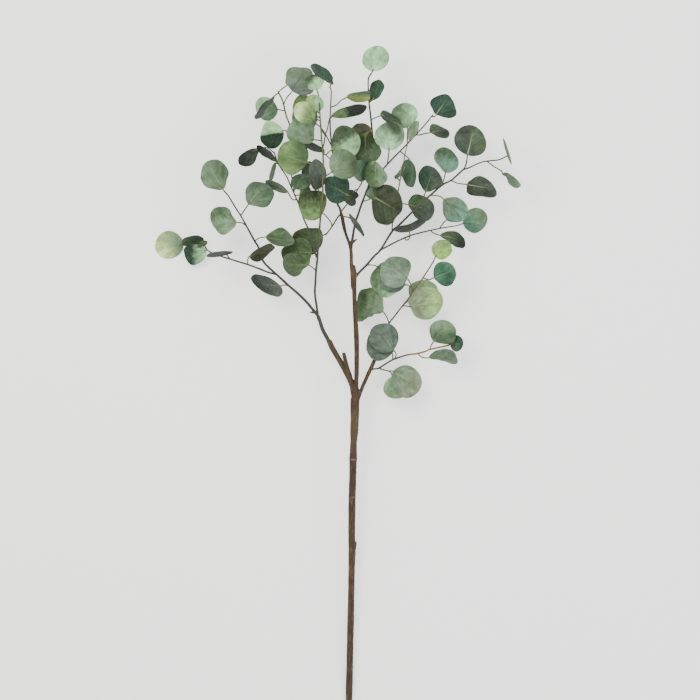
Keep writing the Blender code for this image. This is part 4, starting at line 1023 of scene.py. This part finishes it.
def waxyLeaf():
    material, shader, add = newMaterial("waxyLeafSkin")
    read = {name: add("Attribute", attribute_name=name).outputs for name in (
        "bladeSpot", "toneWay", "toneShift", "fromTone", "toTone", "ribTone", "seed")}
    along, across, fromRib = add("SeparateXYZ", [read["bladeSpot"]["Vector"]]).outputs
    wayAlong, wayAcross, softness = add("SeparateXYZ", [read["toneWay"]["Vector"]]).outputs
    beside = add("Math ABSOLUTE", [across])
    spot = add("TexCoord").outputs["Object"]
    noises = {}
    for name, (size, detail, roughness, distortion) in leafSkin["noises"].items():
        noises[name] = add("TexNoise", {
            "Vector": spot, "Scale": 1 / (size * mm), "Detail": detail, "Roughness": roughness,
            "Distortion": distortion})

    # streaks that fan out from the stalk over the blade
    behind, closeness = leafSkin["streaks"]
    ahead = add("Math ADD", [along, behind])
    fanTurn = add("Math MULTIPLY", [add("Math ARCTAN2", [across, ahead]), closeness])
    fan = add("CombineXYZ", [fanTurn, ahead, read["seed"]["Fac"]])
    noises["streak"] = add("TexNoise", {"Vector": fan, "Scale": 1.0, "Detail": 2.0, "Roughness": 0.5})

    # one tone runs over into the other, along a line that wanders a little; between them they give the
    # leaf's own colour and the light and shade painted on it
    run = add("Math MULTIPLY_ADD", [along, wayAlong, add("Math MULTIPLY", [across, wayAcross])])
    run = add("Math SUBTRACT", [run, read["toneShift"]["Fac"]])
    sway = add("Math SUBTRACT", [noises["blotch"], 0.5])
    run = add("Math MULTIPLY_ADD", [sway, add("Math ADD", [softness, leafSkin["toneWander"]]), run])
    share = add("MapRange", [run, add("Math MULTIPLY", [softness, -1.0]), softness],
                interpolation_type="SMOOTHSTEP")
    skin = add("Mix", {"Factor": share, "A": read["fromTone"]["Color"], "B": read["toTone"]["Color"]},
               data_type="RGBA")

    # uneven bloom: broad clouds, blotches, small rubbed places, a fine grain and the streaks
    shade = 1.0
    for name, steps in leafSkin["bloom"].items():
        shade = add("Math MULTIPLY", [shade, add("MapRange", [noises[name], *steps])])
    skin = add("VectorMath SCALE", {0: skin, "Scale": shade})

    # side veins leave the rib at a slant and curve towards the tip,
    # strong in one place and gone in the next
    slant = add("Math MULTIPLY_ADD", [beside, -blade["veinSlant"], along])
    curved = add("Math MULTIPLY_ADD", [add("Math MULTIPLY", [beside, beside]), leafSkin["veinCurve"], slant])
    wavy = add("Math MULTIPLY_ADD", [sway, leafSkin["veinWander"], curved])
    swing = add("Math COSINE", [add("Math MULTIPLY", [wavy, blade["veinTurns"]])])
    ridge = add("Math POWER", [add("Math MULTIPLY_ADD", [swing, 0.5, 0.5]), leafSkin["veinSharpness"]])
    away = add("Math MULTIPLY_ADD", [along, along, add("Math MULTIPLY", [across, across])])
    inside = add("MapRange", [add("Math SQRT", [away]), *leafSkin["veinReach"]])
    shown = add("MapRange", [noises["rubbed"], *leafSkin["veinPatches"]])
    veins = add("Math MULTIPLY", [add("Math MULTIPLY", [ridge, inside]), shown])
    veinMask = add("Math MULTIPLY", [veins, leafSkin["veinStrength"]])

    # the rib narrows and fades from the stalk to the tip
    ribWidth = add("MapRange", [along, *leafSkin["ribWidth"]])
    rib = add("MapRange", [add("Math DIVIDE", [beside, ribWidth]), *leafSkin["ribEdge"]],
              interpolation_type="SMOOTHSTEP")
    ribFade = add("MapRange", [along, *leafSkin["ribFade"]])
    ribMask = add("Math MULTIPLY", [add("Math MULTIPLY", [rib, ribFade]), read["ribTone"]["Fac"]])

    # the stalk end is yellower, and the rim has a thin pale line
    fromFoot = add("Math ADD", [add("Math ADD", [along, 1.0]), beside])
    foot = add("MapRange", [fromFoot, *leafSkin["foot"]])
    edge = add("MapRange", [fromRib, *leafSkin["rimLine"]])
    for mask, colour in (
            (veinMask, "veinColour"), (ribMask, "ribColour"), (foot, "rimColour"), (edge, "rimColour")):
        skin = add("Mix", {"Factor": mask, "A": skin, "B": toLinear(leafSkin[colour])}, data_type="RGBA")

    height = 0.0
    for source, share in zip((noises["blotch"], noises["speck"], veins), leafSkin["relief"]):
        height = add("Math MULTIPLY_ADD", [source, share, height])
    strength, distance = leafSkin["bump"]
    feed(shader, {
        "Base Color": skin,
        "Roughness": add("MapRange", [noises["rubbed"], 0.0, 1.0, *leafSkin["roughness"]]),
        "IOR": leafSkin["ior"],
        "Specular IOR Level": leafSkin["specular"],
        "Normal": add("Bump", {"Height": height, "Strength": strength, "Distance": distance})})
    return material


twigSkin = {
    "grain": (3, 4.0, 0.6),  # mm, detail, roughness
    "shade": (0.3, 0.7, 0.72, 1.2),      # from and to in the noise, and the shade at both
    "roughness": 0.62,
    "bump": (0.5, 0.2 * mm),
}


# Young bark: thin, smooth and slightly ribbed, green where it is new
def youngBark():
    material, shader, add = newMaterial("youngTwigBark")
    tone = add("Attribute", attribute_name="tone").outputs["Color"]
    spot = add("TexCoord").outputs["Object"]
    size, detail, roughness = twigSkin["grain"]
    noise = add("TexNoise", {
        "Vector": spot, "Scale": 1 / (size * mm), "Detail": detail, "Roughness": roughness})
    shade = add("MapRange", [noise, *twigSkin["shade"]])
    strength, distance = twigSkin["bump"]
    feed(shader, {
        "Base Color": add("VectorMath SCALE", {0: tone, "Scale": shade}),
        "Roughness": twigSkin["roughness"],
        "Normal": add("Bump", {"Height": noise, "Strength": strength, "Distance": distance})})
    return material


wood = {
    "tubes": {"Spacing": 2.5 * mm, "Sides": 24, "Unevenness": 0.10, "Knot size": 14 * mm},
    "voxel": 0.78,           # mm
    "smoothing": (0.5, 3),   # strength, passes
    "relief": 0.75,          # mm from the deepest crack to the highest ridge
    "crack": 3.4,            # mm across
    "crackStretch": (1.0, 0.2, 1.0),     # less of the noise along the stem
    "middleHeight": 0.55,    # the part of the noise that stays where the tube is
    "rings": [(-134.3, 0.3), (-151.5, -0.4), (-196.5, 0.25)],    # y mm, lift mm
    "ringReach": 3,          # mm
    "pith": (18, -550.2, 5),
    "pithWidth": (0.5, 0.9),     # mm, dark to here and gone by there
    "pithStrength": 0.7,
    "cutWidth": (4.7, 4.4),      # mm, where the bark ends and the cut wood begins
    "yearRing": 1.1,         # mm
    "ringWander": 1.5,       # mm
    "cutLight": "#b19672",
    "cutDark": "#8f7350",
    "pithColour": "#4a3320",
    "bark": [(0.30, "#22150b"), (0.45, "#352513"), (0.58, "#49361f"), (0.74, "#6d583a")],
    "noises": {              # stretched along the stem or not, size mm, detail, roughness
        "streak": (True, 2.6, 5.0, 0.62),
        "patch": (False, 26, 3.0, 0.5),
        "fine": (True, 0.9, 3.0, 0.5),
    },
    "stretch": (1.0, 0.16, 1.0),
    "fineShare": 0.5,        # of the fine grain in the bumps
    "markCore": 0.25,        # of a mark's reach, at full strength
    "shade": (0.3, 0.7, 0.75, 1.2),
    "roughness": 0.82,
    "bump": (0.7, 0.5 * mm),
}

# Places on the old bark painted another colour, the three near-black ones at the crotch being painted
# shadow:
# middle mm, how much each axis counts, reach mm, colour, strength
barkMarks = [
    ((0, -85, 0), (0, 1, 0), 40, "#5b462d", 0.35),
    ((31, -80, 48), (1, 0.2, 0.6), 7, "#564d29", 0.35),
    ((0, -174, 0), (0, 1, 0), 32, "#39241a", 0.5),
    ((0, -262, 0), (0, 1, 0), 44, "#41331b", 0.35),
    ((0, -405, 0), (0, 1, 0), 34, "#3b271a", 0.35),
    ((0, -515, 0), (0, 1, 0), 40, "#332311", 0.35),
    ((0, -144, 0), (0, 1, 0), 9, "#2a210f", 0.4),
    ((25.4, -134.3, 0), (0.3, 1, 0), 2.2, "#86705c", 0.5),
    ((0, -151.5, 0), (0, 1, 0), 2.4, "#1c120b", 0.6),
    ((25, -196.5, 0), (0.3, 1, 0), 1.8, "#86705c", 0.4),
    ((8, 20, 52), (1, 1, 1), 34, "#4b4126", 0.3),
    # painted shadow, near black, in the crotch between the middle stub and the stem
    ((20.8, 9, 0), (1, 0.4, 0), 3.2, "#120a06", 0.8),
    ((23.6, 1, 0), (1, 0.4, 0), 3.2, "#120a06", 0.85),
    ((26, -7, 0), (1, 0.4, 0), 3.2, "#120a06", 0.85),
    ((26.5, 176, 68), (1, 1, 1), 18, "#5d4532", 0.4),
    ((-10, 54, 57), (1, 1, 1), 22, "#4c3827", 0.35),
    ((9, 40, 66.5), (1, 1, 1), 7, "#3c3226", 0.5),
    ((46, -4, 51), (1, 1, 1), 34, "#43291d", 0.35),
    ((12, 250, 78), (1, 1, 1), 40, "#2b201b", 0.6),
]


# Old bark: dry and matt, brown with dark cracks and paler worn streaks
# along the stem, and cut wood at its end
def oldBark():
    material, shader, add = newMaterial("dryStemBark")
    spot = add("TexCoord").outputs["Object"]
    drawn = add("Mapping", {"Vector": spot, "Scale": wood["stretch"]})
    noises = {}
    for name, (stretched, size, detail, roughness) in wood["noises"].items():
        noises[name] = add("TexNoise", {
            "Vector": drawn if stretched else spot, "Scale": 1 / (size * mm), "Detail": detail,
            "Roughness": roughness})
    streak, patch, fine = noises.values()
    ramp = add("ValToRGB", [streak])
    stops = ramp.color_ramp.elements
    while len(stops) < len(wood["bark"]):
        stops.new(0.5)
    for stop, (share, colour) in zip(stops, wood["bark"]):
        stop.position = share
        stop.color = toLinear(colour)
    shade = add("MapRange", [patch, *wood["shade"]])
    skin = add("VectorMath SCALE", {0: ramp, "Scale": shade})
    fray = add("Math SUBTRACT", [streak, 0.5])
    for middle, axes, reach, colour, strength in barkMarks:
        apart = add("VectorMath SUBTRACT", [spot, Vector(middle) * mm])
        gap = add("VectorMath LENGTH", [add("VectorMath MULTIPLY", [apart, axes])])
        frayed = add("Math MULTIPLY_ADD", [fray, reach * mm, gap])
        mask = add("MapRange", [frayed, wood["markCore"] * reach * mm, reach * mm, strength, 0.0])
        skin = add("Mix", {"Factor": mask, "A": skin, "B": toLinear(colour)}, data_type="RGBA")

    # the cut end: pale wood with year rings round a dark pith
    fromPith = add("VectorMath DISTANCE", [spot, Vector(wood["pith"]) * mm])
    uneven = add("Math MULTIPLY_ADD", [patch, wood["ringWander"] * mm, fromPith])
    rings = add("Math SINE", [add("Math MULTIPLY", [uneven, 2 * math.pi / (wood["yearRing"] * mm)])])
    darkEnd, paleFrom = wood["pithWidth"]
    barkEnd, woodFrom = wood["cutWidth"]
    cutWood = toLinear(wood["cutLight"])
    ringMask = add("MapRange", [rings, -1.0, 1.0, 0.0, 1.0])
    pithMask = add("MapRange", [fromPith, darkEnd * mm, paleFrom * mm, wood["pithStrength"], 0.0])
    for mask, colour in ((ringMask, "cutDark"), (pithMask, "pithColour")):
        cutWood = add("Mix", {"Factor": mask, "A": cutWood, "B": toLinear(wood[colour])}, data_type="RGBA")
    nearEnd = add("MapRange", [fromPith, barkEnd * mm, woodFrom * mm, 0.0, 1.0])
    height = add("Math MULTIPLY_ADD", [fine, wood["fineShare"], streak])
    strength, distance = wood["bump"]
    feed(shader, {
        "Base Color": add("Mix", {"Factor": nearEnd, "A": skin, "B": cutWood}, data_type="RGBA"),
        "Roughness": wood["roughness"],
        "Normal": add("Bump", {"Height": height, "Strength": strength, "Distance": distance})})
    return material


def barkTree():
    # cracks and ridges that run along the stem, and the rings of old buds
    tree, given, add = newTree("barkTree", [
        ("Relief", "Float", wood["relief"] * mm),
        ("Crack size", "Float", wood["crack"] * mm),
        ("Material", "Material", None),
    ])
    spot = add("GeometryNodeInputPosition")
    noise = add("TexNoise", {
        "Vector": add("VectorMath MULTIPLY", [spot, wood["crackStretch"]]),
        "Scale": add("Math DIVIDE", [1.0, given["Crack size"]]), "Detail": 3.0, "Roughness": 0.6})
    lift = add("Math SUBTRACT", [noise, wood["middleHeight"]])
    lift = add("Math MULTIPLY", [lift, given["Relief"]])
    lengthwise = add("SeparateXYZ", [spot]).outputs["Y"]
    for y, rise in wood["rings"]:
        gap = add("Math ABSOLUTE", [add("Math SUBTRACT", [lengthwise, y * mm])])
        ring = add("MapRange", [gap, 0.0, wood["ringReach"] * mm, rise * mm, 0.0],
                   interpolation_type="SMOOTHSTEP")
        lift = add("Math ADD", [lift, ring])
    step = add("VectorMath SCALE", {0: add("GeometryNodeInputNormal"), "Scale": lift})
    moved = add("GeometryNodeSetPosition", {"Geometry": given["Geometry"], "Offset": step})
    return endTree(tree, moved, given["Material"])


def makeStem(tubes, bark):
    # rough tubes grown together, softened and given their bark
    lines = []
    for rows in woodRows.values():
        lines.append(([Vector(row[:3]) for row in rows], [row[3] for row in rows]))
    joined = grown("stem_tubes", lineMesh("stem_lines", lines), tubes, {**wood["tubes"], "Material": bark})
    mesher = joined.modifiers.new("join", "REMESH")
    mesher.mode = "VOXEL"
    mesher.voxel_size = wood["voxel"] * mm
    smoother = joined.modifiers.new("soften", "SMOOTH")
    smoother.factor, smoother.iterations = wood["smoothing"]
    graph = bpy.context.evaluated_depsgraph_get()
    plainWood = bpy.data.meshes.new_from_object(joined.evaluated_get(graph))
    bpy.data.objects.remove(joined)
    stem = grown("stem_wood", plainWood, barkTree(), {"Material": bark})
    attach(stem, "root")
    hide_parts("stem")
    print("stem:", len(stem.data.polygons), "faces")


sprays = {
    "left": ("spray_left", leftTwigs, leftLeaves),
    "centre_left": ("spray_centre_left", centreLeftTwigs, centreLeftLeaves),
    "centre_right": ("spray_centre_right", centreRightTwigs, centreRightLeaves),
    "right": ("spray_right", rightTwigs, rightLeaves),
    "lower_right": ("spray_lower_right", lowerRightTwigs, lowerRightLeaves),
}


def makeSprays(tubes, blades, twigBark, skin):
    template = templateLeaf()
    seed = 0
    for name, (node, twigs, leaves) in sprays.items():
        lines, bladeRows = sprayLines(twigs, leaves, seed)
        seed += len(leaves)
        woody = grown(name + "_twigs", lineMesh(name + "_lines", lines), tubes, {"Material": twigBark})
        leafy = grown(name + "_leaves", leafMesh(name + "_points", bladeRows), blades, {
            "Template": template, "Material": skin})
        for piece, slot in ((woody, "bark"), (leafy, "leaf")):
            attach(piece, "root")
            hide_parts(node)
        print(name, "spray:", len(leaves), "leaves,", len(leafy.data.polygons), "leaf faces")
    bpy.data.objects.remove(template)


tubes = tubeTree()
makeStem(tubes, oldBark())
makeSprays(tubes, leafTree(), youngBark(), waxyLeaf())
